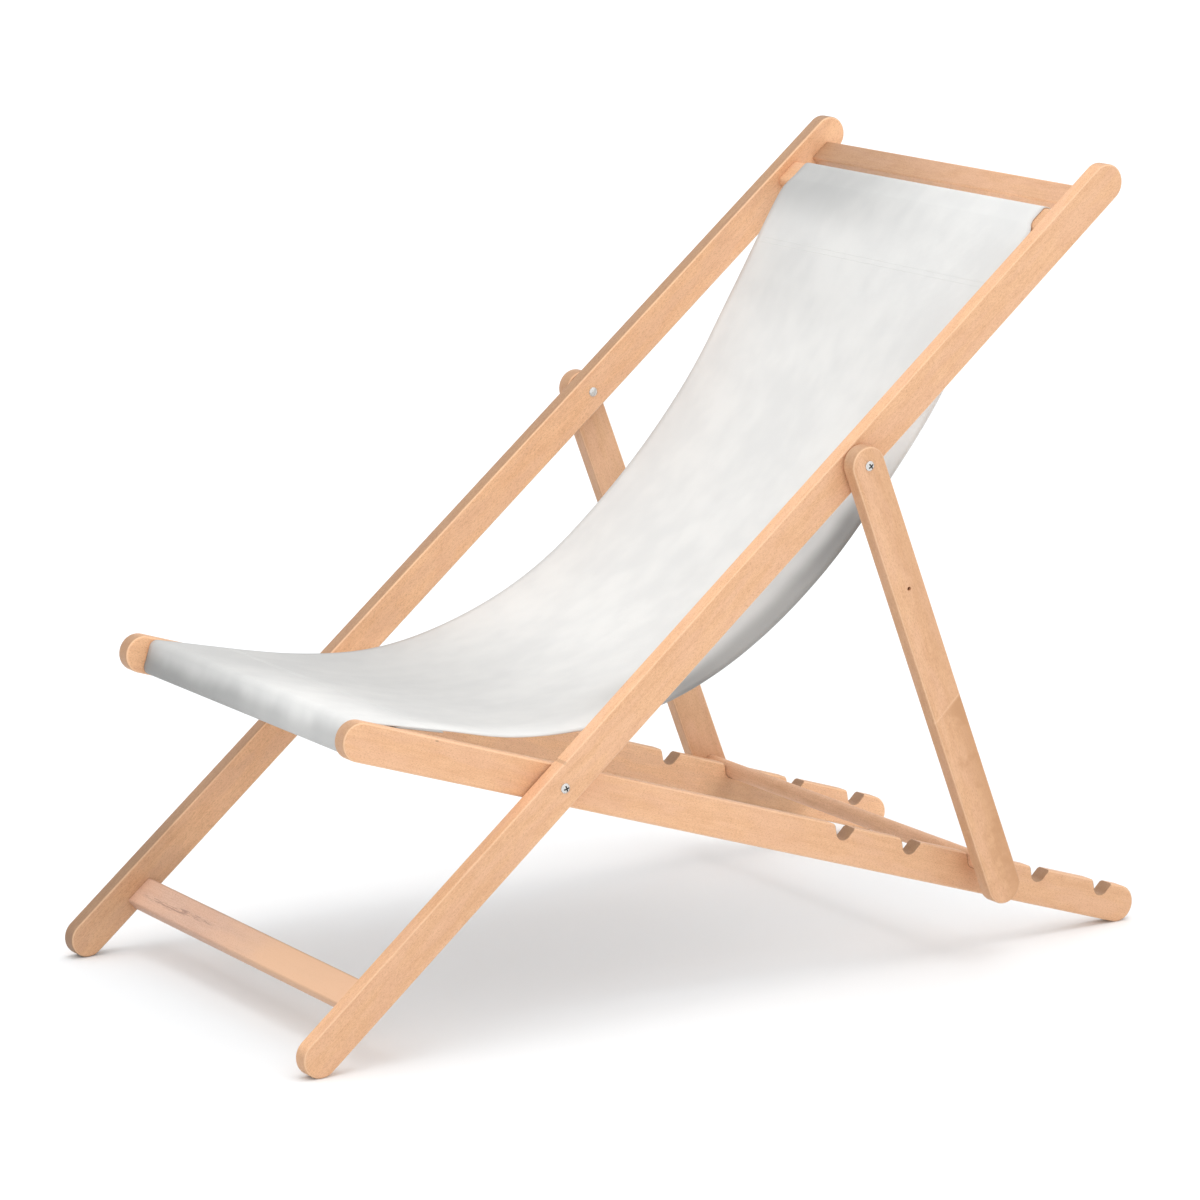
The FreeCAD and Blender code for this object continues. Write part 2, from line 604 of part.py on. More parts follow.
class Strip:
    """A band of even thickness that walks forward by lines and arcs from a start point."""

    def __init__(self, point, heading, thickness):
        self.point = FreeCAD.Vector(point)
        self.heading = heading
        self.half = thickness / 2
        self.left = []
        self.right = []
        self.length = 0
        self.start = self.edge_points()

    def direction(self, turned=0):
        angle = math.radians(self.heading + turned)
        return FreeCAD.Vector(math.cos(angle), math.sin(angle), 0)

    def edge_points(self):
        aside = self.direction(RIGHT_ANGLE) * self.half
        return self.point + aside, self.point - aside

    def line(self, length):
        before = self.edge_points()
        self.point = self.point + self.direction() * length
        after = self.edge_points()
        self.left.append(Part.LineSegment(before[0], after[0]).toShape())
        self.right.append(Part.LineSegment(before[1], after[1]).toShape())
        self.length += length

    def arc(self, radius, turn):
        """Turn left by a positive angle, right by a negative one."""
        sign = math.copysign(1, turn)
        centre = self.point + self.direction(RIGHT_ANGLE) * radius * sign
        ends = [self.edge_points()]
        for share in (0.5, 0.5):
            self.heading += turn * share
            self.point = centre - self.direction(RIGHT_ANGLE) * radius * sign
            ends.append(self.edge_points())
        for edges, index in ((self.left, 0), (self.right, 1)):
            edges.append(Part.Arc(*(pair[index] for pair in ends)).toShape())
        self.length += radius * math.radians(abs(turn))

    def face(self):
        end = self.edge_points()
        closing = [Part.LineSegment(*self.start).toShape(), Part.LineSegment(*end).toShape()]
        return Part.Face(Part.Wire(Part.__sortEdges__(self.left + self.right + closing)))


def in_side_view(origin_y, origin_z, slope, along, above):
    """A point of a rail's own side view, in the chair's Y and Z."""
    angle = math.radians(slope)
    return FreeCAD.Vector(origin_y + along * math.cos(angle) - above * math.sin(angle),
                          origin_z + along * math.sin(angle) + above * math.cos(angle), 0)


def unit(angle):
    return FreeCAD.Vector(math.cos(math.radians(angle)), math.sin(math.radians(angle)), 0)


def bend_shift(from_angle, to_angle, radius):
    """How far a left bend from one heading to another moves a strip."""
    return (unit(from_angle) - unit(to_angle)).cross(UP) * -radius


def sling_section():
    thickness = size("sling_thickness")
    wrap = size("slat_rounding") + size("sling_clearance") + thickness / 2
    corner = size("slat_rounding")
    half_width, half_thick = size("slat_width") / 2, size("slat_thickness") / 2
    back_slope, seat_slope = size("back_slope"), size("seat_slope")
    flat_width = size("slat_width") - 2 * corner
    flat_thick = size("slat_thickness") - 2 * corner

    leave = -size("sling_leave_angle")
    bend, climb = size("sling_bend_angle"), size("sling_back_angle")
    arrive = back_slope + size("sling_arrive_angle")
    front_corner = in_side_view(size("seat_front_y"), size("seat_front_z"), -seat_slope,
                                size("front_slat_at") - half_thick + corner, half_width - corner)
    top_corner = in_side_view(size("back_foot_y"), size("rail_radius"), back_slope,
                              size("sling_slat_at") - half_width + corner,
                              size("sling_slat_rise") + half_thick - corner)
    front = front_corner + unit(leave + RIGHT_ANGLE) * wrap
    top = top_corner + unit(arrive + RIGHT_ANGLE) * wrap

    # The two straight stretches take up what the bends leave between the slats.
    seat_radius, back_radius = size("seat_bend_radius"), size("back_bend_radius")
    top_radius = size("top_bend_radius")
    bends = (bend_shift(leave, bend, seat_radius) + bend_shift(bend, climb, back_radius)
             - bend_shift(climb, arrive, top_radius))
    rest = top - front - bends
    away, upward = unit(leave), unit(climb)
    area = away.x * upward.y - away.y * upward.x
    seat_straight = (rest.x * upward.y - rest.y * upward.x) / area
    back_straight = (away.x * rest.y - away.y * rest.x) / area

    sheet = Strip(front, leave, thickness)
    sheet.line(seat_straight)
    sheet.arc(seat_radius, bend - leave)
    sheet.arc(back_radius, climb - bend)
    sheet.line(back_straight)
    upper_line_end = FreeCAD.Vector(sheet.point)
    sheet.arc(top_radius, arrive - climb)

    # Over the front slat, down its front, back below it and up to the underside.
    front_hem = Strip(front, leave + 2 * RIGHT_ANGLE, thickness)
    down_front = 3 * RIGHT_ANGLE - seat_slope
    front_hem.arc(wrap, down_front - front_hem.heading)
    front_hem.line(flat_width)
    front_hem.arc(wrap, leave + FULL_ANGLE - down_front)
    front_hem.line(size("front_hem_run"))
    below = (front - front_hem.point).dot(unit(leave + RIGHT_ANGLE)) - thickness
    run = size("front_hem_climb")
    turn = 2 * math.degrees(math.atan2(below, run))
    radius = run / (2 * math.sin(math.radians(turn)))
    front_hem.arc(radius, turn)
    front_hem.arc(radius, -turn)
    front_hem.line(size("hem_flat"))

    # Up the front of the sling slat, over its top edge and down behind it to the sheet.
    top_hem = Strip(top, arrive, thickness)
    top_hem.arc(wrap, back_slope - arrive)
    top_hem.line(flat_width)
    top_hem.arc(wrap, -RIGHT_ANGLE)
    top_hem.line(flat_thick)
    top_hem.arc(wrap, -RIGHT_ANGLE)
    underside = upper_line_end + unit(climb - RIGHT_ANGLE) * thickness
    gap = underside - top_hem.point
    downward = unit(top_hem.heading)
    meet = (gap.x * upward.y - gap.y * upward.x) / (downward.x * upward.y - downward.y * upward.x)
    lean = climb - back_slope
    tangent = size("top_hem_radius") * math.tan(math.radians(lean / 2))
    top_hem.line(meet - tangent)
    top_hem.arc(size("top_hem_radius"), lean)
    top_hem.line(size("hem_flat"))

    cut_length = sheet.length + front_hem.length + top_hem.length
    print("canvas straights %.1f and %.1f mm, cut length %.1f mm" % (
        seat_straight, back_straight, cut_length))
    section = sheet.face().fuse([front_hem.face(), top_hem.face()])
    return section.removeSplitter()


sling = doc.addObject("Part::Feature", "sling")
sling.Label = "sling"
section = sling_section()
sling.Shape = section.extrude(UP * size("sling_width")).Solids[0]
sling.Placement = FreeCAD.Placement(FreeCAD.Vector(-size("sling_width") / 2, 0, 0),
                                    FreeCAD.Rotation(90, 0, 90))
nodes.append(sling)

doc.recompute()
for item in doc.Objects:
    if "Invalid" in item.State or "Error" in item.State:
        raise RuntimeError("%s has failed" % item.Name)
for node in nodes:
    if node.Shape.isNull() or not node.Shape.isValid() or len(node.Shape.Solids) != 1:
        raise RuntimeError("%s is not one valid solid" % node.Label)

os.makedirs("parts", exist_ok=True)
for node in nodes:
    node.Shape.exportStep("parts/%s.step" % node.Label)
print("%d nodes" % len(nodes))
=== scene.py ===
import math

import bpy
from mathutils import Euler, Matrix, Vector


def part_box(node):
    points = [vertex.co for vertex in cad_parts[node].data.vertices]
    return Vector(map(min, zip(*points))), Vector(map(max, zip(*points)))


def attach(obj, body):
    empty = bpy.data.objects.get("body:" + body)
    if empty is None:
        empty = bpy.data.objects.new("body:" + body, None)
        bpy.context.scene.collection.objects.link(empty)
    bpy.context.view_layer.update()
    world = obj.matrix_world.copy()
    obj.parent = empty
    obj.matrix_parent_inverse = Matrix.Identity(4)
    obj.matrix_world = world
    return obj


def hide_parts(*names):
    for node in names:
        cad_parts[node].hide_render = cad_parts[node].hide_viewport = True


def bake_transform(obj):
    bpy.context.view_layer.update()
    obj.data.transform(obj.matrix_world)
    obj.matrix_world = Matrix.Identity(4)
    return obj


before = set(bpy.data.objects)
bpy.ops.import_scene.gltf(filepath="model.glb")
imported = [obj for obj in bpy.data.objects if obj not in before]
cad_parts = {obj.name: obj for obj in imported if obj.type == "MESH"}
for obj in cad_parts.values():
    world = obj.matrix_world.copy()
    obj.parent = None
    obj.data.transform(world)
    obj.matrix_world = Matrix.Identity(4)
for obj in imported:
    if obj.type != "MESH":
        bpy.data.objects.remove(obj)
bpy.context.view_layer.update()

# %% [markdown]
# # A folding deck chair
# The frame that was just loaded holds every wooden rail, bolt and washer at its true size and
# place, in metres. This lesson dresses it: sanded and grained beech, domed steel bolts and a
# hanging canvas sling. X runs across the chair towards the sitter's left, Y runs from the feet
# of the back to the rear, and Z is up.

# %% [markdown]
# ## Slopes
# Grain follows the length of a board, so we need to know how each board lies. A side rail is a
# straight board with round ends, seen edge-on from above. Its box is therefore its run or its
# rise plus one rail height, and its slope and length follow from the two.

# %% How the boards lie
RAIL_HEIGHT = 0.042


def run_and_rise(rail):
    low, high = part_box(rail)
    return high.y - low.y - RAIL_HEIGHT, high.z - low.z - RAIL_HEIGHT


def slope_of(rail):
    run, rise = run_and_rise(rail)
    return math.atan2(rise, run)


back_slope = slope_of("back_rail_left")
seat_slope = -slope_of("seat_rail_left")
leg_slope = -slope_of("prop_leg_left")
print("back, seat and leg slopes: %.2f %.2f %.2f degrees" % tuple(
    math.degrees(slope) for slope in (back_slope, seat_slope, leg_slope)))

# %% [markdown]
# ## Camera
# The chair was photographed with a long lens from its front left, a little above the seat. The
# camera's place and direction were worked out from the straight rails, the round ends and the
# bolts. Three unit vectors, to the right, up and backwards, are the columns of its rotation.

# %% The camera at the photograph's view
CAMERA_PLACE = Vector((4.61171, -2.92921, 1.57460))
CAMERA_AZIMUTH = math.radians(57.690)
CAMERA_ELEVATION = math.radians(12.2157)
CAMERA_ROLL = math.radians(-0.157)
CAMERA_LENS = 150.876
CAMERA_REACH = 200

ahead = Vector((-math.sin(CAMERA_AZIMUTH) * math.cos(CAMERA_ELEVATION),
                math.cos(CAMERA_AZIMUTH) * math.cos(CAMERA_ELEVATION),
                -math.sin(CAMERA_ELEVATION)))
level = Vector((math.cos(CAMERA_AZIMUTH), math.sin(CAMERA_AZIMUTH), 0))
over = level.cross(ahead)
camera_right = level * math.cos(CAMERA_ROLL) + over * math.sin(CAMERA_ROLL)
camera_up = over * math.cos(CAMERA_ROLL) - level * math.sin(CAMERA_ROLL)
turn = Matrix((camera_right, camera_up, -ahead)).transposed()
bpy.ops.object.camera_add(location=CAMERA_PLACE, rotation=turn.to_euler())
camera = bpy.context.object
camera.name = "Camera"
camera.data.lens = CAMERA_LENS
camera.data.clip_end = CAMERA_REACH
bpy.context.scene.camera = camera
print("camera looks along", [round(part, 4) for part in ahead])

# %% [markdown]
# ## Shader sums
# A pattern is arithmetic on coordinates and noise. Written node by node it is hard to read, so
# a small class wraps a socket and lets us write sums such as `1 - mask * 0.5`. Every operator
# adds one Math node. All other nodes come from a single method, which sets the node's own
# settings first and then the values or links of its sockets.

# %% A socket that can be added and multiplied
class Value:
    def __init__(self, finish, socket):
        self.finish = finish
        self.socket = socket

    def __add__(self, other):
        return self.finish.sum("ADD", self, other)

    __radd__ = __add__

    def __sub__(self, other):
        return self.finish.sum("SUBTRACT", self, other)

    def __rsub__(self, other):
        return self.finish.sum("SUBTRACT", other, self)

    def __mul__(self, other):
        return self.finish.sum("MULTIPLY", self, other)

    __rmul__ = __mul__

    def __truediv__(self, other):
        return self.finish.sum("DIVIDE", self, other)

    def __pow__(self, other):
        return self.finish.sum("POWER", self, other)


# %% A finish, which is a tree of nodes
class Finish:
    def __init__(self, tree):
        self.tree = tree
        tree.nodes.clear()

    def node(self, kind, settings=None, sockets=None, output=0):
        made = self.tree.nodes.new(kind)
        for name, setting in (settings or {}).items():
            setattr(made, name, setting)
        for name, value in (sockets or {}).items():
            if isinstance(value, Value):
                self.tree.links.new(value.socket, made.inputs[name])
            else:
                made.inputs[name].default_value = value
        return Value(self, made.outputs[output])

    def sum(self, operation, first, second=0.0):
        """The result of one Math node."""
        return self.node("ShaderNodeMath", {"operation": operation}, {0: first, 1: second})

    def place(self):
        return self.node("ShaderNodeTexCoord", output="Object")

    def parts(self, vector):
        return [self.node("ShaderNodeSeparateXYZ", {}, {0: vector}, output=axis)
                for axis in "XYZ"]

    def noise(self, vector, scales, detail=2, roughness=0.5):
        """Noise with about as many features in a metre as the three scales say, one per axis."""
        stretched = self.node("ShaderNodeVectorMath", {"operation": "MULTIPLY"},
                              {0: vector, 1: scales})
        return self.node("ShaderNodeTexNoise", {}, {
            "Vector": stretched, "Scale": 1, "Detail": detail, "Roughness": roughness})

    def step(self, value, start, end):
        """0 below start, 1 above end, smooth between."""
        return self.node("ShaderNodeMapRange", {"interpolation_type": "SMOOTHSTEP"}, {
            "Value": value, "From Min": start, "From Max": end})

    def tint(self, factor, first, second):
        """From the first colour to the second, by a factor from 0 to 1."""
        return self.node("ShaderNodeMix", {"data_type": "RGBA"}, {0: factor, 6: first, 7: second},
                         output=2)

    def scaled(self, colour, factor):
        return self.node("ShaderNodeVectorMath", {"operation": "SCALE"},
                         {0: colour, "Scale": factor})

    def close(self, shader, output="ShaderNodeOutputMaterial"):
        closing = self.tree.nodes.new(output)
        self.tree.links.new(shader.socket, closing.inputs["Surface"])


# %% A surface made from a finish
def new_finish(name):
    material = bpy.data.materials.new(name)
    material.use_nodes = True
    return material, Finish(material.node_tree)


def surface(finish, colour, roughness, height, depth, **constants):
    """Colour, roughness and a bump of the given depth in metres. The rest is the same all over."""
    bump = finish.node("ShaderNodeBump", {}, {"Height": height, "Distance": depth})
    sockets = {"Base Color": colour, "Roughness": roughness, "Normal": bump}
    sockets.update({name.replace("_", " "): value for name, value in constants.items()})
    finish.close(finish.node("ShaderNodeBsdfPrincipled", {}, sockets))


print("shader helpers ready")

# %% [markdown]
# ## Floor and light
# A product picture has a floor that burns out to white, with a soft grey shadow. Two sources
# give that. A pale room lights everything from all sides. It is brightest overhead and to the
# right, and greyer at the foot of the chair, so that edges facing that way read darker. A
# broad overhead light takes the open floor past white. Where the chair hides it, only the
# room is left, so the shadow stays pale and its edge is wide. A sun lamp with a large angle is
# such a light, and unlike a lamp nearby it is as strong at the far end of the floor. The floor
# is a little cool, because the wood throws warm light into the shadow and grey is wanted there.

# %% Floor
bpy.context.scene.view_settings.view_transform = "Standard"
FLOOR_SIZE, FLOOR_ROUGHNESS = 80, 0.9
FLOOR_DARK, FLOOR_LIGHT = (0.855, 0.875, 0.89, 1), (0.875, 0.895, 0.91, 1)

bpy.ops.mesh.primitive_plane_add(size=FLOOR_SIZE, location=(0, 0, 0))
floor = bpy.context.object
floor.name = "floor"
material, finish = new_finish("floor_white")
drift = finish.noise(finish.place(), (0.7, 0.7, 0.7))
surface(finish, finish.tint(drift, FLOOR_DARK, FLOOR_LIGHT), FLOOR_ROUGHNESS, drift, 0.0)
floor.data.materials.append(material)
print("floor", floor.name)

# %% The pale room
ROOM_DARK, ROOM_BRIGHT = 0.84, 1.20
BRIGHT_SIDE = Vector((0.75, 0.15, 0.65)).normalized()
ROOM_FADE = 0.6

world = bpy.data.worlds.new("pale_room")
world.use_nodes = True
finish = Finish(world.node_tree)
direction = finish.node("ShaderNodeTexCoord", output="Generated")
facing = finish.node("ShaderNodeVectorMath", {"operation": "DOT_PRODUCT"},
                     {0: direction, 1: BRIGHT_SIDE}, output="Value")
strength = ROOM_DARK + finish.step(facing, -ROOM_FADE, ROOM_FADE) * (ROOM_BRIGHT - ROOM_DARK)
glow = finish.node("ShaderNodeBackground", {}, {"Color": (1, 1, 1, 1), "Strength": strength})
finish.close(glow, "ShaderNodeOutputWorld")
bpy.context.scene.world = world
print("room from", ROOM_DARK, "to", ROOM_BRIGHT)

# %% The broad overhead light
LIGHT_FROM = Vector((0.03, 0.10, 1.0))
LIGHT_ENERGY, LIGHT_ANGLE = 0.72, math.radians(42)

bpy.ops.object.light_add(type="SUN", location=LIGHT_FROM * 3,
                         rotation=LIGHT_FROM.to_track_quat("Z", "Y").to_euler())
overhead = bpy.context.object
overhead.name = "broad_overhead_light"
overhead.data.energy = LIGHT_ENERGY
overhead.data.angle = LIGHT_ANGLE
print("overhead light", overhead.data.energy)

# %% [markdown]
# ## Beech
# Every board has its own piece of one tree. The pattern lives in a solid block: faint growth
# rings around a pith well outside the board, soft blotches, streaks along the fibres, and the
# short dark flecks that beech is known by, half a millimetre wide and two or three long. A slow
# noise shifts the hue between yellow and pink. Each pattern is noise that is stretched along
# the fibres, and the grain is a sum of them, each with its weight. A Mapping node lays the board
# down along Y with its middle at the origin, so that a pattern can also be placed on it by
# measure. Each board then takes its grain from another part of the block.

# %% The beech finish
LIGHT_BEECH = (0.800, 0.480, 0.275, 1)
DEEP_BEECH = (0.680, 0.375, 0.205, 1)
PINK_BEECH = (0.760, 0.455, 0.305, 1)
FLECK_BROWN = (0.42, 0.205, 0.105, 1)
RING_SPACING, RING_WANDER = 0.0042, 0.05
WANDER_SCALES, BROAD_SCALES, BLOTCH_SCALES = (22, 2.4, 22), (70, 4, 70), (130, 42, 130)
STREAK_SCALES, PORE_SCALES = (560, 34, 560), (1100, 420, 1100)
FLECK_SCALES, HUE_SCALES = (2100, 380, 2100), (60, 14, 60)
PINK_SHARE, FLECK_SHARE = 0.30, 0.38
GRAIN_DEPTH = 0.00010


def beech(name, centre, rotation, seed, light=LIGHT_BEECH, deep=DEEP_BEECH, details=()):
    material, finish = new_finish(name)
    laid_down = Euler(rotation).to_matrix() @ centre
    local = finish.node("ShaderNodeMapping", {"vector_type": "POINT"}, {
        "Vector": finish.place(), "Rotation": rotation, "Location": -laid_down})
    block = finish.node("ShaderNodeVectorMath", {"operation": "ADD"}, {
        0: local, 1: (0.06 + 0.013 * seed, 0.37 * seed, 0.04 + 0.017 * (seed % 4))})
    wander = finish.noise(block, WANDER_SCALES, 2)
    across, _, upward = finish.parts(block)
    distance = (across * across + upward * upward) ** 0.5 + wander * RING_WANDER
    rings = finish.step(finish.sum("SINE", distance * (2 * math.pi / RING_SPACING)), 0.2, 1.0)
    broad = finish.noise(block, BROAD_SCALES, 3, 0.55)
    blotch = finish.noise(block, BLOTCH_SCALES, 2, 0.55)
    streak = finish.noise(block, STREAK_SCALES, 2, 0.6)
    pore = finish.noise(block, PORE_SCALES, 1, 0.5)
    flecks = finish.step(finish.noise(block, FLECK_SCALES, 1, 0.4), 0.56, 0.66)
    grain = broad * 0.27 + blotch * 0.23 + streak * 0.22 + pore * 0.34 + rings * 0.03
    hue = finish.step(finish.noise(block, HUE_SCALES, 2), 0.40, 0.62)
    colour = finish.tint(finish.step(grain, 0.39, 0.71), light, deep)
    colour = finish.tint(hue * PINK_SHARE, colour, PINK_BEECH)
    colour = finish.tint(flecks * FLECK_SHARE, colour, FLECK_BROWN)
    for detail in details:
        colour = detail(finish, colour, local)
    surface(finish, colour, 0.44 + streak * 0.12 + flecks * 0.06,
            pore * 0.35 + streak * 0.40 - flecks * 0.45, GRAIN_DEPTH, Specular_IOR_Level=0.35)
    return material


def along_rail(slope):
    """Rotation that lays a board of the side view down along Y."""
    return (-slope, 0, 0)


def along_slat(slope):
    """The same for a board across the chair, whose section leans by the slope."""
    return (-slope, 0, math.radians(90))


def middle_of(node):
    low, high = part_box(node)
    return (low + high) / 2


print("beech finish ready")

# %% [markdown]
# ## Edges and ends
# On a laid-down rail, x runs through its 20 mm of thickness and z across its height. The broad
# faces lie at x = 10 mm, so whatever is nearer the middle is a narrow face, and the narrow faces
# of each rail take a tone of their own, as painted light and shade. The round ends show end grain,
# which soaks up oil and darkens, and their tones hold painted shade as well. The bevel between
# the faces is made paler, as a painted highlight. Darker lower ends, marks and streaks have their
# own functions, whose places are measured from the middle of the board.

# %% Narrow faces, end grain and edges, with painted light and shade
HALF_THICKNESS, HALF_HEIGHT, EDGE = 0.010, RAIL_HEIGHT / 2, 0.002
END_GRAIN_START, END_GRAIN_FULL = 0.002, 0.015
PALE_BEECH, EDGE_HIGHLIGHT_SHARE = (0.90, 0.62, 0.40, 1), 0.45
SLAT_EDGE_START, SLAT_EDGE_FULL = 0.003, 0.0005


def rail_faces(span, narrow_tone, end_tone):
    """The narrow faces, round ends and edges of a rail whose end circles are a span apart."""
    def paint(finish, colour, local):
        x, y, z = finish.parts(local)
        off_middle = finish.sum("ABSOLUTE", x)
        narrow = 1 - finish.step(off_middle, HALF_THICKNESS - EDGE, HALF_THICKNESS - EDGE / 3)
        beyond = finish.sum("MAXIMUM", finish.sum("ABSOLUTE", y) - span / 2, 0.0)
        end = finish.step(beyond, END_GRAIN_START, END_GRAIN_FULL)
        # Narrow faces and ends take per-rail tones: painted light and shade, and at the ends also
        # darker end grain.
        tone = narrow_tone + end * (end_tone - narrow_tone)
        colour = finish.scaled(colour, 1 - narrow * (1 - tone))
        outward = (beyond * beyond + z * z) ** 0.5
        # The bevel is made paler, as a painted highlight along the edges.
        edge = (finish.step(off_middle, HALF_THICKNESS - EDGE, HALF_THICKNESS - EDGE / 2)
                * finish.step(outward, HALF_HEIGHT - EDGE, HALF_HEIGHT - EDGE / 2))
        return finish.tint(edge * EDGE_HIGHLIGHT_SHARE, colour, PALE_BEECH)
    return paint


def painted_slat_edges(half_width, tone):
    """The narrow faces of a slat, whose width lies along x, made lighter or darker by a tone of
    painted light.
    """
    def paint(finish, colour, local):
        off_middle = finish.sum("ABSOLUTE", finish.parts(local)[0])
        edge = finish.step(off_middle, half_width - SLAT_EDGE_START, half_width - SLAT_EDGE_FULL)
        return finish.scaled(colour, 1 - edge * (1 - tone))
    return paint


# %% A board made darker towards its lower end, from one place along it to another
DARKENING_SCALES, DARKENING_WANDER = (70, 40, 70), 0.06


def darker_end(clean_at, dirty_at, darkness):
    def paint(finish, colour, local):
        along = finish.parts(local)[1]
        wander = (finish.noise(local, DARKENING_SCALES, 3) - 0.5) * DARKENING_WANDER
        darkening = finish.step((along + wander - clean_at) / (dirty_at - clean_at), 0.0, 1.0)
        return finish.scaled(colour, 1 - darkening * darkness)
    return paint


# %% A dark mark, longer than it is high, at a measured place; one of them is a painted shadow
def mark(at_y, at_z, half_length, half_height, darkness):
    def paint(finish, colour, local):
        _, y, z = finish.parts(local)
        along, up = (y - at_y) / half_length, (z - at_z) / half_height
        spot = 1 - finish.step((along * along + up * up) ** 0.5, 0.45, 1.0)
        return finish.scaled(colour, 1 - spot * darkness)
    return paint


# %% Dark broken streaks inside an oval
STREAK_BROWN, BROKEN_SCALES = (0.26, 0.14, 0.11, 1), (620, 44, 620)


def streaks(at_x, at_y, at_z, size_x, size_y, size_z, darkness):
    def paint(finish, colour, local):
        x, y, z = finish.parts(local)
        offsets = [(x - at_x) / size_x, (y - at_y) / size_y, (z - at_z) / size_z]
        oval = sum((offset * offset for offset in offsets[1:]), offsets[0] * offsets[0]) ** 0.5
        broken = finish.step(finish.noise(local, BROKEN_SCALES, 3, 0.6), 0.44, 0.60)
        spot = 1 - finish.step(oval, 0.55, 1.0)
        return finish.tint(spot * broken * darkness, colour, STREAK_BROWN)
    return paint


print("edge, mark and streak details ready")

# %% [markdown]
# ## Notch walls
# The walls of the notches are darkened, as painted shade in the recesses. The
# empty space of a notch is a circle with a funnel above it. A mask that is a hair wider than
# that space darkens its walls and a thin line round it, and nothing else, since the rest of it
# holds no wood. One notch is described and a modulo repeats it along the rail.

# %% The notches along a seat rail
NOTCH_FIRST, NOTCH_PITCH, NOTCH_COUNT = 0.631, 0.094, 5
NOTCH_RADIUS, NOTCH_RISE, NOTCH_LEAN = 0.0097, 0.0152, math.radians(28)
HAIR = 0.0004
NOTCH_REACH, ROW_FADE, NOTCH_SHADE = 0.029, 0.001, 0.42


def notch_walls(span):
    first = NOTCH_FIRST - span / 2
    last = first + (NOTCH_COUNT - 1) * NOTCH_PITCH
    funnel_z = NOTCH_RISE - NOTCH_RADIUS * math.sin(NOTCH_LEAN)
    funnel_y = NOTCH_RADIUS * math.cos(NOTCH_LEAN)

    def paint(finish, colour, local):
        _, y, z = finish.parts(local)
        cycle = finish.sum("FLOORED_MODULO", y - (first - NOTCH_PITCH / 2), NOTCH_PITCH)
        aside = finish.sum("ABSOLUTE", cycle - NOTCH_PITCH / 2)
        above = z - NOTCH_RISE
        circle = 1 - finish.step((aside * aside + above * above) ** 0.5,
                                 NOTCH_RADIUS + HAIR, NOTCH_RADIUS + 2 * HAIR)
        reach = aside - (z - funnel_z) * math.tan(NOTCH_LEAN)
        funnel = (1 - finish.step(reach, funnel_y + HAIR, funnel_y + 2 * HAIR)) * finish.step(
            z, funnel_z - HAIR, funnel_z)
        row = finish.step(y, first - NOTCH_REACH - ROW_FADE, first - NOTCH_REACH) * (
            1 - finish.step(y, last + NOTCH_REACH, last + NOTCH_REACH + ROW_FADE))
        walls = finish.sum("MAXIMUM", circle, funnel) * row
        # The walls are darkened as painted shade in the notch.
        return finish.scaled(colour, 1 - walls * NOTCH_SHADE)
    return paint


# %% [markdown]
# ## Sanded boards
# The frame's boards have the right outline, holes and notches, with a plain bevel along their
# edges. Real ones are sanded round. Each board is copied, its loose triangles are merged and
# its flat faces joined. A narrow bevel on every edge then sands it rounder, and smooth shading
# rounds the rest to the eye. Weighted normals keep the broad faces truly flat, so that only the
# edges bend the light.

# %% How a board is worked
BOARD_SMOOTHING, BOARD_ROUNDING = math.radians(50), 0.0011
MERGE_DISTANCE, FLAT_ANGLE, EDGE_ANGLE = 0.000005, math.radians(0.3), math.radians(30)
FLAT_FACE_WEIGHT = 80


def pick(thing):
    bpy.ops.object.select_all(action="DESELECT")
    thing.select_set(True)
    bpy.context.view_layer.objects.active = thing


def worked(node, name, smoothing=BOARD_SMOOTHING, rounding=BOARD_ROUNDING):
    piece = bpy.data.objects.new(name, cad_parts[node].data.copy())
    bpy.context.scene.collection.objects.link(piece)
    piece.data.materials.clear()
    pick(piece)
    bpy.ops.object.mode_set(mode="EDIT")
    bpy.ops.mesh.select_all(action="SELECT")
    bpy.ops.mesh.remove_doubles(threshold=MERGE_DISTANCE)
    bpy.ops.mesh.dissolve_limited(angle_limit=FLAT_ANGLE)
    bpy.ops.object.mode_set(mode="OBJECT")
    if rounding:
        rounded = piece.modifiers.new("rounded", "BEVEL")
        rounded.width = rounding
        rounded.segments = 2
        rounded.limit_method = "ANGLE"
        rounded.angle_limit = EDGE_ANGLE
        bpy.ops.object.modifier_apply(modifier=rounded.name)
    bpy.ops.object.shade_smooth_by_angle(angle=smoothing)
    weighted = piece.modifiers.new("weighted", "WEIGHTED_NORMAL")
    weighted.mode = "FACE_AREA"
    weighted.weight = FLAT_FACE_WEIGHT
    weighted.keep_sharp = True
    bpy.ops.object.modifier_apply(modifier=weighted.name)
    return piece


def dress(piece, node, body, slot, *materials):
    for material in materials:
        piece.data.materials.append(material)
    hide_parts(node)
    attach(piece, body)
    return piece


# %% [markdown]
# ## The side boards
# Six boards share one wood and differ in painted tone and in marks. The left prop leg has marks of
# its own kind, so they come first: a faint pale line runs across its outer face, on the skew. The
# leg is painted browner towards its rear edge, as painted shade, and more so below the line, where
# it also has a brown stain.

# %% The skewed line on the left prop leg, and painted shade across the leg
LINE_Y, LINE_Z = 0.0364, -0.0013
LINE_LEAN_Y, LINE_LEAN_Z = 0.92, 0.39
LINE_CORE, LINE_EDGE, LINE_SHARE = 0.0004, 0.0016, 0.22
LEG_BROWN, LEG_BLOTCH_SCALES = (0.53, 0.28, 0.14, 1), (48, 26, 30)


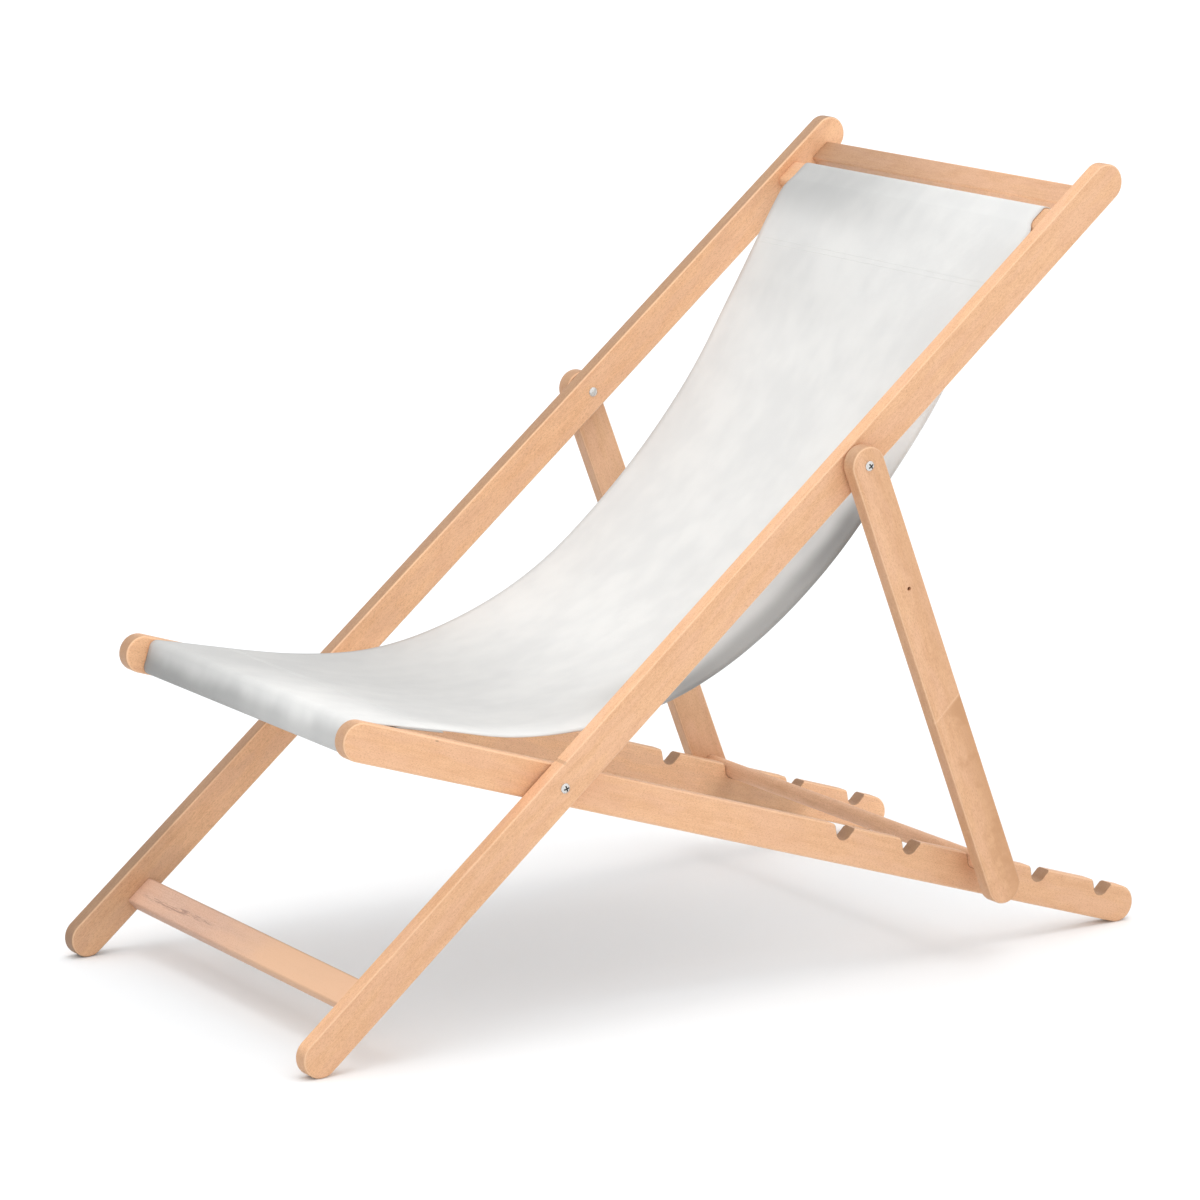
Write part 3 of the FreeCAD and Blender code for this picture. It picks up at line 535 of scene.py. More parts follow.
def skewed_line(finish, colour, local):
    x, y, z = finish.parts(local)
    distance = (y - LINE_Y) * LINE_LEAN_Y + (z - LINE_Z) * LINE_LEAN_Z
    outer_face = finish.step(x, HALF_THICKNESS - 2 * EDGE, HALF_THICKNESS - EDGE)
    line = (1 - finish.step(finish.sum("ABSOLUTE", distance), LINE_CORE, LINE_EDGE)) * outer_face
    blotch = finish.step(finish.noise(local, LEG_BLOTCH_SCALES, 3, 0.6), 0.45, 0.62)
    below = finish.step(distance, 0.0, 0.004)
    # The leg is painted browner towards its rear edge, as painted shade; below the line, blotches
    # add a brown stain.
    rear = finish.step(z + (blotch - 0.5) * 0.008, -0.014, 0.018)
    browner = rear * (0.34 + below * 0.40) + below * (0.10 + blotch * 0.14)
    colour = finish.tint(browner, colour, LEG_BROWN)
    return finish.tint(line * LINE_SHARE, colour, PALE_BEECH)


# %% [markdown]
# Each board then has one row in a list: its node, its body and its slope, the tones of the board
# as a whole, of its narrow faces and of its ends, and its marks. The tones paint light and shade
# into the wood. The back rail on the sitter's right is darkest along its narrow faces and at its
# ends, as painted shade. The right seat rail has a long faint painted shadow of the bar low on its
# side, to the rear of the bar. Some boards are a little darker towards their lower ends.

# %% The six side boards
# The three tones in each row paint light and shade into the board; the end tone also holds darker
# end grain.
BOARDS = [
    ("back_rail_left", "back_frame", back_slope, 0.99, 1.10, 0.86,
     [mark(-0.248, 0.0205, 0.003, 0.0015, 0.25), darker_end(-0.26, -0.40, 0.045)]),
    ("back_rail_right", "back_frame", back_slope, 1.12, 0.54, 0.46,
     [streaks(-0.010, -0.355, 0.0165, 0.004, 0.030, 0.0016, 0.55),
      darker_end(-0.43, -0.55, 0.24)]),
    ("seat_rail_left", "seat_frame", seat_slope, 1.02, 1.0, 0.72,
     [mark(-0.431, 0.0183, 0.003, 0.0013, 0.35), darker_end(-0.20, 0.50, 0.08)]),
    ("seat_rail_right", "seat_frame", seat_slope, 1.15, 0.8, 0.55,
     # This long dark mark is a painted shadow of the bar on the rail.
     [mark(0.345, -0.012, 0.100, 0.030, 0.30)]),
    ("prop_leg_left", "prop_frame", leg_slope, 0.95, 0.87, 0.78, [skewed_line]),
    ("prop_leg_right", "prop_frame", leg_slope, 0.92, 0.80, 0.74, []),
]

# %% A colour made lighter or darker by a tone
def toned(colour, tone):
    return (*(part * tone for part in colour[:3]), 1)


# %% Side rails and prop legs
for seed, (node, body, slope, tone, narrow_tone, end_tone, marks) in enumerate(BOARDS, start=1):
    span = math.hypot(*run_and_rise(node))
    details = [rail_faces(span, narrow_tone, end_tone), *marks]
    if body == "seat_frame":
        details.append(notch_walls(span))
    wood = beech("beech_" + node, middle_of(node), along_rail(slope), seed,
                 toned(LIGHT_BEECH, tone), toned(DEEP_BEECH, tone), details)
    dress(worked(node, node + "_wood"), node, body, "wood", wood)
print("side boards:", len(BOARDS))

# %% [markdown]
# ## Slats and the prop bar
# The cross slats run along X, and the grain turns with them. The top slat is a warmer piece. Its
# narrow faces are made paler, as a painted highlight, and it darkens towards the sitter's right,
# as painted shade. The round bar is handled most, and is rubbed into the notches each time, so it
# has gone browner than the rest.

# %% The darker end of the top slat
SHADED_TONE, SHADED_FROM, SHADED_TO = 0.66, 0.16, -0.24


def shaded_end(finish, colour, local):
    lit = finish.step(finish.parts(local)[1], SHADED_TO, SHADED_FROM)
    return finish.scaled(colour, SHADED_TONE + (1 - SHADED_TONE) * lit)


# %% Cross slats and the prop bar: node, body, slope, light and deep colour, and details
WARM_LIGHT, WARM_DEEP = (0.74, 0.435, 0.25, 1), (0.62, 0.34, 0.19, 1)
BROWN_LIGHT, BROWN_DEEP = (0.80, 0.475, 0.285, 1), (0.64, 0.355, 0.20, 1)
# The top slat's narrow faces are lightened by a painted tone, as a painted highlight.
TOP_SLAT_HALF_WIDTH, TOP_SLAT_EDGE_HIGHLIGHT = 0.015, 1.30

SLATS = [
    ("top_rail", "back_frame", back_slope, WARM_LIGHT, WARM_DEEP,
     [painted_slat_edges(TOP_SLAT_HALF_WIDTH, TOP_SLAT_EDGE_HIGHLIGHT), shaded_end]),
    ("sling_slat", "back_frame", back_slope, LIGHT_BEECH, DEEP_BEECH, []),
    ("front_rail", "seat_frame", seat_slope, LIGHT_BEECH, DEEP_BEECH, []),
    ("prop_bar", "prop_frame", leg_slope, BROWN_LIGHT, BROWN_DEEP, []),
]
for seed, (node, body, slope, light, deep, details) in enumerate(SLATS, start=11):
    wood = beech("beech_" + node, middle_of(node), along_slat(slope), seed, light, deep, details)
    dress(worked(node, node + "_wood"), node, body, "wood", wood)
print("slats and bar:", len(SLATS))

# %% [markdown]
# ## Foot slat
# The slat between the feet is from another tree: paler, pinker towards the sitter's right, and
# there with a row of small dark streaks along the middle of its upper face.

# %% The tan end of the foot slat
TAN_LIGHT, TAN_SHARE, TAN_FADE = (0.83, 0.510, 0.310, 1), 0.8, 0.10
TAN_SCALES, TAN_WANDER = (60, 20, 60), 0.12


def tan_end(finish, colour, local):
    wander = (finish.noise(local, TAN_SCALES, 3) - 0.5) * TAN_WANDER
    tan = finish.step(finish.parts(local)[1] + wander, -TAN_FADE, TAN_FADE)
    return finish.tint(tan * TAN_SHARE, colour, TAN_LIGHT)


# %% The foot slat
PINK_LIGHT, PINK_DEEP = (0.745, 0.490, 0.362, 1), (0.64, 0.395, 0.288, 1)
# The foot slat's narrow faces are darkened by a painted tone, as painted shade.
FOOT_SLAT_HALF_WIDTH, FOOT_SLAT_EDGE_SHADE = 0.018, 0.80

foot_details = [
    tan_end,
    painted_slat_edges(FOOT_SLAT_HALF_WIDTH, FOOT_SLAT_EDGE_SHADE),
    streaks(0.0036, -0.186, 0.008, 0.0040, 0.062, 0.003, 0.62),
    streaks(0.0006, -0.122, 0.008, 0.0034, 0.050, 0.003, 0.62),
]
wood = beech("beech_foot_rail", middle_of("foot_rail"), along_slat(back_slope), 23,
             PINK_LIGHT, PINK_DEEP, foot_details)
foot_slat = worked("foot_rail", "foot_rail_wood")
dress(foot_slat, "foot_rail", "back_frame", "foot_wood", wood)
print("foot slat", foot_slat.name)

# %% [markdown]
# ## Steel
# The pivots are furniture bolts and sleeve nuts in zinc plated steel. The plating is not quite
# even, so a fine noise varies its colour and roughness. The recess for the screwdriver has a
# nearly black finish, for collected dirt and for painted shade, which is what makes the cross
# readable from afar.

# %% The steel finishes
ZINC_DARK, ZINC_BRIGHT = (0.55, 0.54, 0.52, 1), (0.76, 0.75, 0.73, 1)
# Nearly black: dirt in the recess, and painted shade there.
RECESS_DARK, RECESS_BRIGHT = (0.035, 0.032, 0.030, 1), (0.09, 0.08, 0.07, 1)
CLOUD_SCALES, CLOUD_DEPTH = (900, 900, 900), 0.00002


def steel_finish(name, dark, bright, roughness, metallic):
    material, finish = new_finish(name)
    cloud = finish.noise(finish.place(), CLOUD_SCALES, 3)
    surface(finish, finish.tint(cloud, dark, bright), roughness + cloud * 0.2, cloud, CLOUD_DEPTH,
            Metallic=metallic)
    return material


steel = steel_finish("zinc_steel", ZINC_DARK, ZINC_BRIGHT, 0.16, 1.0)
recess_dirt_and_shade_finish = steel_finish("recess_dirt_and_shade", RECESS_DARK, RECESS_BRIGHT, 0.6, 0.0)
print("steel finishes", steel.name, recess_dirt_and_shade_finish.name)

# %% [markdown]
# ## Bolts and sleeve nuts
# Both have the same low domed head. A cylinder gives the rim. Its outer face is inset and
# raised a few times, by less each time, which makes the dome, and its inner face is inset and
# pushed out into the shank. The nut's shank is a tube. The bolt's cross recess is cut last,
# with a boolean. Each is modelled once, on its side at the origin, and then copied.

# %% The head, along X, with its seat at X = 0
HEAD_RADIUS, HEAD_RIM, HEAD_HEIGHT = 0.0055, 0.0009, 0.0034
HEAD_SIDES, DOME_RINGS, FLAT_TOP = 40, 5, 0.6


def select_end(piece, place):
    """Selects the flat face of a turned piece that lies at this X."""
    bpy.ops.mesh.select_all(action="DESELECT")
    bpy.ops.object.mode_set(mode="OBJECT")
    for face in piece.data.polygons:
        face.select = abs(face.center.x - place) < 1e-6 and abs(face.normal.x) > 0.99
    bpy.ops.object.mode_set(mode="EDIT")
    bpy.ops.mesh.select_mode(type="FACE")


def turned_head(name):
    """A domed head in edit mode, with its inner face selected for the shank."""
    bpy.ops.object.select_all(action="DESELECT")
    bpy.ops.mesh.primitive_cylinder_add(
        vertices=HEAD_SIDES, radius=HEAD_RADIUS, depth=HEAD_RIM,
        location=(HEAD_RIM / 2, 0, 0), rotation=(0, math.radians(90), 0))
    piece = bpy.context.object
    piece.name = name
    bpy.ops.object.transform_apply(location=True, rotation=True, scale=True)
    rise = HEAD_HEIGHT - HEAD_RIM
    crown = (HEAD_RADIUS ** 2 + rise ** 2) / (2 * rise)
    bpy.ops.object.mode_set(mode="EDIT")
    select_end(piece, HEAD_RIM)
    radius, height = HEAD_RADIUS, 0.0
    for ring in range(1, DOME_RINGS + 1):
        next_radius = HEAD_RADIUS * (1 - ring / (DOME_RINGS + FLAT_TOP))
        next_height = math.sqrt(crown ** 2 - next_radius ** 2) - (crown - rise)
        bpy.ops.mesh.inset(thickness=radius - next_radius, depth=0)
        bpy.ops.transform.translate(value=(next_height - height, 0, 0))
        radius, height = next_radius, next_height
    select_end(piece, 0)
    return piece


# %% The bolt, with its cross recess
BOLT_LENGTH, BOLT_RADIUS = 0.030, 0.00295
RECESS_LENGTH, RECESS_WIDTH, RECESS_DEPTH = 0.0066, 0.0017, 0.0017
CREASE = math.radians(35)

bolt = turned_head("bolt")
bpy.ops.mesh.inset(thickness=HEAD_RADIUS - BOLT_RADIUS, depth=0)
bpy.ops.mesh.extrude_region_move(TRANSFORM_OT_translate={"value": (-BOLT_LENGTH, 0, 0)})
bpy.ops.object.mode_set(mode="OBJECT")
for arm in ((RECESS_LENGTH, RECESS_WIDTH), (RECESS_WIDTH, RECESS_LENGTH)):
    bpy.ops.object.select_all(action="DESELECT")
    bpy.ops.mesh.primitive_cube_add(size=1, location=(HEAD_HEIGHT, 0, 0))
    cutter = bpy.context.object
    cutter.scale = (2 * RECESS_DEPTH, *arm)
    bpy.ops.object.transform_apply(location=True, rotation=True, scale=True)
    pick(bolt)
    cut = bolt.modifiers.new("recess", "BOOLEAN")
    cut.operation = "DIFFERENCE"
    cut.object = cutter
    bpy.ops.object.modifier_apply(modifier=cut.name)
    bpy.data.objects.remove(cutter)
bpy.ops.object.shade_smooth_by_angle(angle=CREASE)
print("bolt:", len(bolt.data.polygons), "faces")

# %% The dark finish of the recess, dirt and painted shade, is a second material on its walls and bottom
bolt.data.materials.append(steel)
bolt.data.materials.append(recess_dirt_and_shade_finish)
recess_reach = RECESS_LENGTH / 2 + 0.0001
darkened = 0
for face in bolt.data.polygons:
    out, off_axis = face.center.x, math.hypot(face.center.y, face.center.z)
    is_wall = abs(face.normal.x) < 0.05
    is_bottom = abs(out - (HEAD_HEIGHT - RECESS_DEPTH)) < 1e-5
    if (is_wall or is_bottom) and out > HEAD_RIM and off_axis < recess_reach:
        face.material_index = 1
        darkened += 1
print("dirty faces:", darkened)

# %% The sleeve nut
SLEEVE_LENGTH, SLEEVE_RADIUS, BORE_RADIUS, BORE_DEPTH = 0.042, 0.004, 0.003, 0.02905

nut = turned_head("nut")
bpy.ops.mesh.inset(thickness=HEAD_RADIUS - SLEEVE_RADIUS, depth=0)
bpy.ops.mesh.extrude_region_move(TRANSFORM_OT_translate={"value": (-SLEEVE_LENGTH, 0, 0)})
bpy.ops.mesh.inset(thickness=SLEEVE_RADIUS - BORE_RADIUS, depth=0)
bpy.ops.mesh.extrude_region_move(TRANSFORM_OT_translate={"value": (BORE_DEPTH, 0, 0)})
bpy.ops.object.mode_set(mode="OBJECT")
pick(nut)
bpy.ops.object.shade_smooth_by_angle(angle=CREASE)
nut.data.materials.append(steel)
print("nut:", len(nut.data.polygons), "faces")

# %% [markdown]
# ## Placing the pivots
# A bolt goes in from outside and its nut from inside. A node's box tells where its axis runs
# and how far out its head reaches. The copies are moved there, those that point to minus X are
# turned half round, and the place is then applied to the mesh. The cross of each bolt stops at
# its own angle, as real ones do.

# %% Bolts, nuts and washers in their places
PIVOT_BODIES = {"seat": "seat_frame", "prop": "back_frame"}
CROSS_ANGLES = {("seat", "left"): 18, ("seat", "right"): 52,
                ("prop", "left"): 38, ("prop", "right"): 70}
CAD_HEAD_HEIGHT = 0.003


def fasten(model, node, body, outwards, twist):
    low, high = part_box(node)
    seat_x = high.x - CAD_HEAD_HEIGHT if outwards > 0 else low.x + CAD_HEAD_HEIGHT
    place = Vector((seat_x, middle_of(node).y, middle_of(node).z))
    piece = bpy.data.objects.new(node + "_steel", model.data.copy())
    bpy.context.scene.collection.objects.link(piece)
    half_round = 0 if outwards > 0 else math.radians(180)
    piece.matrix_world = (Matrix.Translation(place) @ Matrix.Rotation(half_round, 4, "Z")
                          @ Matrix.Rotation(twist, 4, "X"))
    pick(piece)
    bpy.ops.object.transform_apply(location=True, rotation=True, scale=True)
    return dress(piece, node, body, "hardware")


for (pivot, side), angle in CROSS_ANGLES.items():
    body = PIVOT_BODIES[pivot]
    outwards = 1 if side == "left" else -1
    fasten(bolt, "%s_bolt_%s" % (pivot, side), body, outwards, math.radians(angle))
    fasten(nut, "%s_nut_%s" % (pivot, side), body, -outwards, 0)
    washer = "%s_washer_%s" % (pivot, side)
    dress(worked(washer, washer + "_steel", CREASE, 0), washer, body, "hardware", steel)
for model in (bolt, nut):
    bpy.data.objects.remove(model)
print("fastened", len(CROSS_ANGLES), "pivots")

# %% [markdown]
# ## The sling's path
# The sling is one long canvas, hemmed into a loop at both ends. It starts where the front hem
# is sewn down below the seat, runs forward, wraps the front slat, falls into the seat, climbs
# the back, goes over the upper slat and ends where the top hem is sewn down behind. In side
# view that is a chain of lines and arcs, which we walk like a pen: a length to go straight, or
# a radius and an angle to turn.

# %% A pen that walks lines and arcs in the side view
THICKNESS = 0.0015
STEP, TURN_STEP = 0.006, math.radians(9)


def ahead_of(heading):
    return Vector((math.cos(heading), math.sin(heading)))


def aside_of(heading):
    return Vector((-math.sin(heading), math.cos(heading)))


class Pen:
    def __init__(self, point, heading):
        self.point = Vector(point)
        self.heading = heading
        self.marks = [(self.point.copy(), heading)]

    def line(self, length):
        steps = max(1, round(length / STEP))
        for _ in range(steps):
            self.point += ahead_of(self.heading) * (length / steps)
            self.marks.append((self.point.copy(), self.heading))

    def bend(self, radius, angle):
        steps = max(4, round(abs(radius * angle) / STEP), round(abs(angle) / TURN_STEP))
        chord = 2 * radius * math.sin(abs(angle) / steps / 2)
        for _ in range(steps):
            self.heading += angle / steps / 2
            self.point += ahead_of(self.heading) * chord
            self.heading += angle / steps / 2
            self.marks.append((self.point.copy(), self.heading))


# %% The two slats that the sling hangs from, and how steeply it leaves and meets them
SLAT_HALF_WIDTH, SLAT_HALF_THICKNESS, SLAT_ROUNDING = 0.018, 0.008, 0.007
CANVAS_GAP = 0.0003
WRAP_RADIUS = SLAT_ROUNDING + CANVAS_GAP + THICKNESS / 2
wide = SLAT_HALF_WIDTH - SLAT_ROUNDING
narrow = SLAT_HALF_THICKNESS - SLAT_ROUNDING
LEAVE_ANGLE, BEND_ANGLE, CLIMB_ANGLE, ARRIVE_LEAN = -12.7, 39, 57.5, 5
leave, bend, climb = (math.radians(angle) for angle in (LEAVE_ANGLE, BEND_ANGLE, CLIMB_ANGLE))
arrive = back_slope + math.radians(ARRIVE_LEAN)

front = (middle_of("front_rail").yz - ahead_of(seat_slope) * narrow + aside_of(seat_slope) * wide
         + aside_of(leave) * WRAP_RADIUS)
top = (middle_of("sling_slat").yz - ahead_of(back_slope) * wide + aside_of(back_slope) * narrow
       + aside_of(arrive) * WRAP_RADIUS)
print("the sheet hangs from", front, "to", top)

# %% The main stretch, from the front slat over the seat and up the back
SEAT_BEND_RADIUS, BACK_BEND_RADIUS, TOP_BEND_RADIUS = 0.470, 0.900, 0.150


def cross(first, second):
    return first.x * second.y - first.y * second.x


def bend_shift(start, end, radius):
    """How far a left bend from one heading to another moves the pen."""
    return (aside_of(start) - aside_of(end)) * radius


rest = (top - front - bend_shift(leave, bend, SEAT_BEND_RADIUS)
        - bend_shift(bend, climb, BACK_BEND_RADIUS) + bend_shift(climb, arrive, TOP_BEND_RADIUS))
area = cross(ahead_of(leave), ahead_of(climb))
sheet = Pen(front, leave)
sheet.line(cross(rest, ahead_of(climb)) / area)
sheet.bend(SEAT_BEND_RADIUS, bend - leave)
sheet.bend(BACK_BEND_RADIUS, climb - bend)
sheet.line(cross(ahead_of(leave), rest) / area)
top_bend_start = sheet.point.copy()
sheet.bend(TOP_BEND_RADIUS, arrive - climb)
print("the sheet ends %.2e m from its slat" % (sheet.point - top).length)

# %% The front hem: round the front slat, back below it and up to the underside
FRONT_HEM_RUN, FRONT_HEM_CLIMB, FRONT_HEM_RETURN = 0.002, 0.046, 0.1158
quarter, half = math.radians(90), math.radians(180)

front_hem = Pen(front, leave + half)
down_front = half + quarter + seat_slope
front_hem.bend(WRAP_RADIUS, down_front - front_hem.heading)
front_hem.line(2 * wide)
front_hem.bend(WRAP_RADIUS, leave + 2 * half - down_front)
front_hem.line(FRONT_HEM_RUN)
below = (front - front_hem.point).dot(aside_of(leave)) - THICKNESS
climb_angle = 2 * math.atan2(below, FRONT_HEM_CLIMB)
climb_radius = FRONT_HEM_CLIMB / (2 * math.sin(climb_angle))
front_hem.bend(climb_radius, climb_angle)
front_hem.bend(climb_radius, -climb_angle)
front_hem.line(FRONT_HEM_RETURN - FRONT_HEM_RUN - 2 * climb_radius * climb_angle)
print("front hem of", len(front_hem.marks), "marks")

# %% The top hem: up the slat, over it and down behind to the underside
TOP_HEM_RADIUS, TOP_HEM_FLAT = 0.060, 0.012

top_hem = Pen(top, arrive)
top_hem.bend(WRAP_RADIUS, back_slope - arrive)
top_hem.line(2 * wide)
top_hem.bend(WRAP_RADIUS, -quarter)
top_hem.line(2 * narrow)
top_hem.bend(WRAP_RADIUS, -quarter)
gap = top_bend_start - aside_of(climb) * THICKNESS - top_hem.point
meet = cross(gap, ahead_of(climb)) / cross(ahead_of(top_hem.heading), ahead_of(climb))
lean = climb - back_slope
top_hem.line(meet - TOP_HEM_RADIUS * math.tan(lean / 2))
top_hem.bend(TOP_HEM_RADIUS, lean)
top_hem.line(TOP_HEM_FLAT)
print("top hem of", len(top_hem.marks), "marks")

# %% One path from hem to hem
marks = [(point, heading - half) for point, heading in reversed(front_hem.marks)]
front_mark = len(marks) - 1
marks += sheet.marks[1:]
top_mark = len(marks) - 1
marks += top_hem.marks[1:]
lengths = [0.0]
for (point, _), (following, _) in zip(marks, marks[1:]):
    lengths.append(lengths[-1] + (following - point).length)


def nearest_on_sheet(point):
    """How far along the canvas the sheet passes nearest to a point."""
    index = min(range(front_mark, top_mark), key=lambda mark: (marks[mark][0] - point).length)
    return lengths[index]


front_sewn = nearest_on_sheet(front_hem.point)
top_sewn = nearest_on_sheet(top_hem.point)

# %% [markdown]
# ## The sling's cloth
# A flat grid has one row for each mark of the path, and as many columns as the canvas is wide.
# Each vertex moves onto the path. Plain cloth is never quite even, so between the two seams it
# also stands off the path by up to three millimetres: a shallow belly in the middle, slow waves,
# and edges that turn up at the sitter's right and hang lower at the left. Near both slats the
# canvas spreads a little, as a pulled sheet does where it is held. Just below the upper slat it
# has been pulled wider still, mostly at the sitter's left. A UV map holds the distances along
# and across in metres, for the weave. Solidify gives the thickness, and gives the underside a
# material of its own.

# %% How the cloth stands off its path
CANVAS_WIDTH = 0.452
BELLY, RIGHT_EDGE_CURL, LEFT_EDGE_CURL = 0.0030, 0.0016, -0.0024
WAVE, WAVES_ALONG, WAVES_ACROSS = 0.0013, 17, 3.3
HELD_SHARE = 1 / 7


def smooth(share):
    share = min(1.0, max(0.0, share))
    return share * share * (3 - 2 * share)


def swell(along, side):
    """How far the cloth stands off its path, in metres. The side runs from -1 to 1."""
    share = (along - front_sewn) / (top_sewn - front_sewn)
    free = smooth(share / HELD_SHARE) * smooth((1 - share) / HELD_SHARE)
    wave = (math.sin(share * WAVES_ALONG + side * 2.1)
            * math.sin(side * WAVES_ACROSS + share * 5 + 0.7))
    curl = LEFT_EDGE_CURL if side > 0 else RIGHT_EDGE_CURL
    return free * (curl * side ** 8 - BELLY * (1 - side * side) + WAVE * wave)


# %% How the cloth spreads, and where each of its points lies
SPREAD, SPREAD_LENGTH = 0.018, 0.16
LEFT_EAR, RIGHT_EAR = 0.052, 0.022
EAR_START, EAR_RISE, EAR_HOLD, EAR_FADE = -0.006, 0.020, 0.045, 0.17
EDGE_WANDER, WANDER_WAVES = 0.0006, 31


def spread_at(along, side):
    """How much wider than cut the canvas is pulled."""
    below_top, past_front = lengths[top_mark] - along, along - lengths[front_mark]
    spread = SPREAD * (smooth(1 - below_top / SPREAD_LENGTH)
                       + smooth(1 - past_front / SPREAD_LENGTH))
    ear = LEFT_EAR if side > 0 else RIGHT_EAR
    return 1 + spread + ear * smooth((below_top - EAR_START) / EAR_RISE) * smooth(
        1 - (below_top - EAR_HOLD) / EAR_FADE)


def cloth_point(index, share):
    """The place of a point of the canvas, from its mark and its share of the width."""
    point, heading = marks[index]
    along, side = lengths[index], 2 * share
    wander = EDGE_WANDER * math.sin(along * WANDER_WAVES + side * 1.7) * side
    place = point + aside_of(heading) * swell(along, side)
    return Vector((share * CANVAS_WIDTH * spread_at(along, side) + wander, place.x, place.y))


# %% The canvas
COLUMNS = 56

bpy.ops.object.select_all(action="DESELECT")
bpy.ops.mesh.primitive_grid_add(x_subdivisions=COLUMNS, y_subdivisions=len(marks) - 1, size=1)
sling = bpy.context.object
sling.name = "sling_canvas"
last_mark = len(marks) - 1
grid_place = [(round((vertex.co.y + 0.5) * last_mark), vertex.co.x)
              for vertex in sling.data.vertices]
for vertex, (index, share) in zip(sling.data.vertices, grid_place):
    vertex.co = cloth_point(index, share)
weave_map = sling.data.uv_layers.active
for loop, corner in zip(sling.data.loops, weave_map.data):
    index, share = grid_place[loop.vertex_index]
    corner.uv = (share * CANVAS_WIDTH, lengths[index])
print("canvas grid: %d by %d" % (COLUMNS, last_mark))

# %% [markdown]
# ## Canvas finish
# The cloth is a plain weave. The UV map is in metres, so a sine along and a sine across, one
# wave to two threads, give the over and under of the threads, and fine noises make the threads
# uneven. Slow noises give the soft cloudy mottling of a bleached cloth. Shade is painted into
# the canvas colour: most at the right of both folds, below the front fold, along the left edge
# beside the rail, where the rail's shadow falls, and on the seat, more so towards the sitter's
# right. The underside is greyer all over, as painted shade.
#
# A zone of painted shade is a patch with soft edges. Each edge is a pair of places in metres,
# between which the cloth turns from its own colour to grey or back. Places along the canvas are
# measured from the end of the front hem, and places across it from its middle, towards the
# sitter's left.

# %% Where shade is painted into the canvas, and how much light it loses there
top_fold_at = lengths[top_mark]
front_fold_at = lengths[front_mark] - 2 * wide - WRAP_RADIUS
RIGHT_SIDE = (-0.20, 0.16)
BELOW_FOLD, BELOW_FOLD_LOSS = (front_fold_at - 0.002, front_fold_at + 0.020), 0.31
ON_FOLD, ON_FOLD_LOSS = (front_sewn - 0.08, front_sewn + 0.03), 0.31
SEAT, SEAT_SIDE = (front_sewn + 0.12, front_sewn + 0.38), (0.16, 0.22)
SEAT_LOSS, SEAT_RIGHT_LOSS = 0.20, 0.12
TOP_FOLD, TOP_FOLD_LOSS = (top_fold_at - 0.085, top_fold_at - 0.005), 0.36
UPPER_BACK_BEGINS, UPPER_BACK_LOSS = (top_fold_at - 0.20, top_fold_at - 0.13), 0.10
UPPER_BACK_ENDS = (top_fold_at - 0.09, top_fold_at - 0.05)

# Painted shade beside the left rail: the loss, where it begins and ends along, and where it begins
# across.
LEFT_EDGE_ZONES = [
    (0.25, (0.44, 0.58), (0.84, 0.97), (0.100, 0.165)),
    (0.28, (0.44, 0.58), (0.84, 0.97), (0.175, 0.208)),
    (0.13, (0.72, 0.83), (0.845, 0.90), (0.170, 0.205)),
    (0.08, (0.46, 0.52), (0.56, 0.68), (0.185, 0.212)),
]


def painted_shade_tone(finish, across, along):
    """The share of light that the canvas still returns under its painted shade, by its place on
    the canvas.
    """
    right_side = 1 - finish.step(across, *RIGHT_SIDE)
    below_fold = 1 - finish.step(along, *BELOW_FOLD)
    on_fold = 1 - finish.step(along, *ON_FOLD)
    seat = (1 - on_fold) * (1 - finish.step(along, *SEAT)) * (1 - finish.step(across, *SEAT_SIDE))
    upper_back = finish.step(along, *UPPER_BACK_BEGINS) * (
        1 - finish.step(along, *UPPER_BACK_ENDS))
    right_losses = (on_fold * ON_FOLD_LOSS + seat * SEAT_RIGHT_LOSS
                    + finish.step(along, *TOP_FOLD) * TOP_FOLD_LOSS
                    + upper_back * UPPER_BACK_LOSS)
    tone = 1 - below_fold * BELOW_FOLD_LOSS - seat * SEAT_LOSS - right_losses * right_side
    for loss, begins, ends, beside in LEFT_EDGE_ZONES:
        zone = finish.step(along, *begins) * (1 - finish.step(along, *ends))
        tone = tone - zone * finish.step(across, *beside) * loss
    return tone


# %% The canvas finishes
THREAD_PITCH = 0.0010
CANVAS_DARK, CANVAS_LIGHT = (0.700, 0.700, 0.690, 1), (0.763, 0.760, 0.744, 1)
# The underside colours are greyer than the top, as painted shade.
BELOW_DARK, BELOW_LIGHT = (0.49, 0.495, 0.50, 1), (0.55, 0.55, 0.55, 1)
CLOUDS, PATCHES, SLUBS = (9, 6, 1), (34, 26, 1), ((260, 1900, 1), (1900, 260, 1))
MIDDLE_MOTTLE, ZONE_WANDER, WEAVE_DEPTH = 0.54, 0.03, 0.0002
SELVEDGE_AT, SELVEDGE_FADE = 0.220, 0.0005


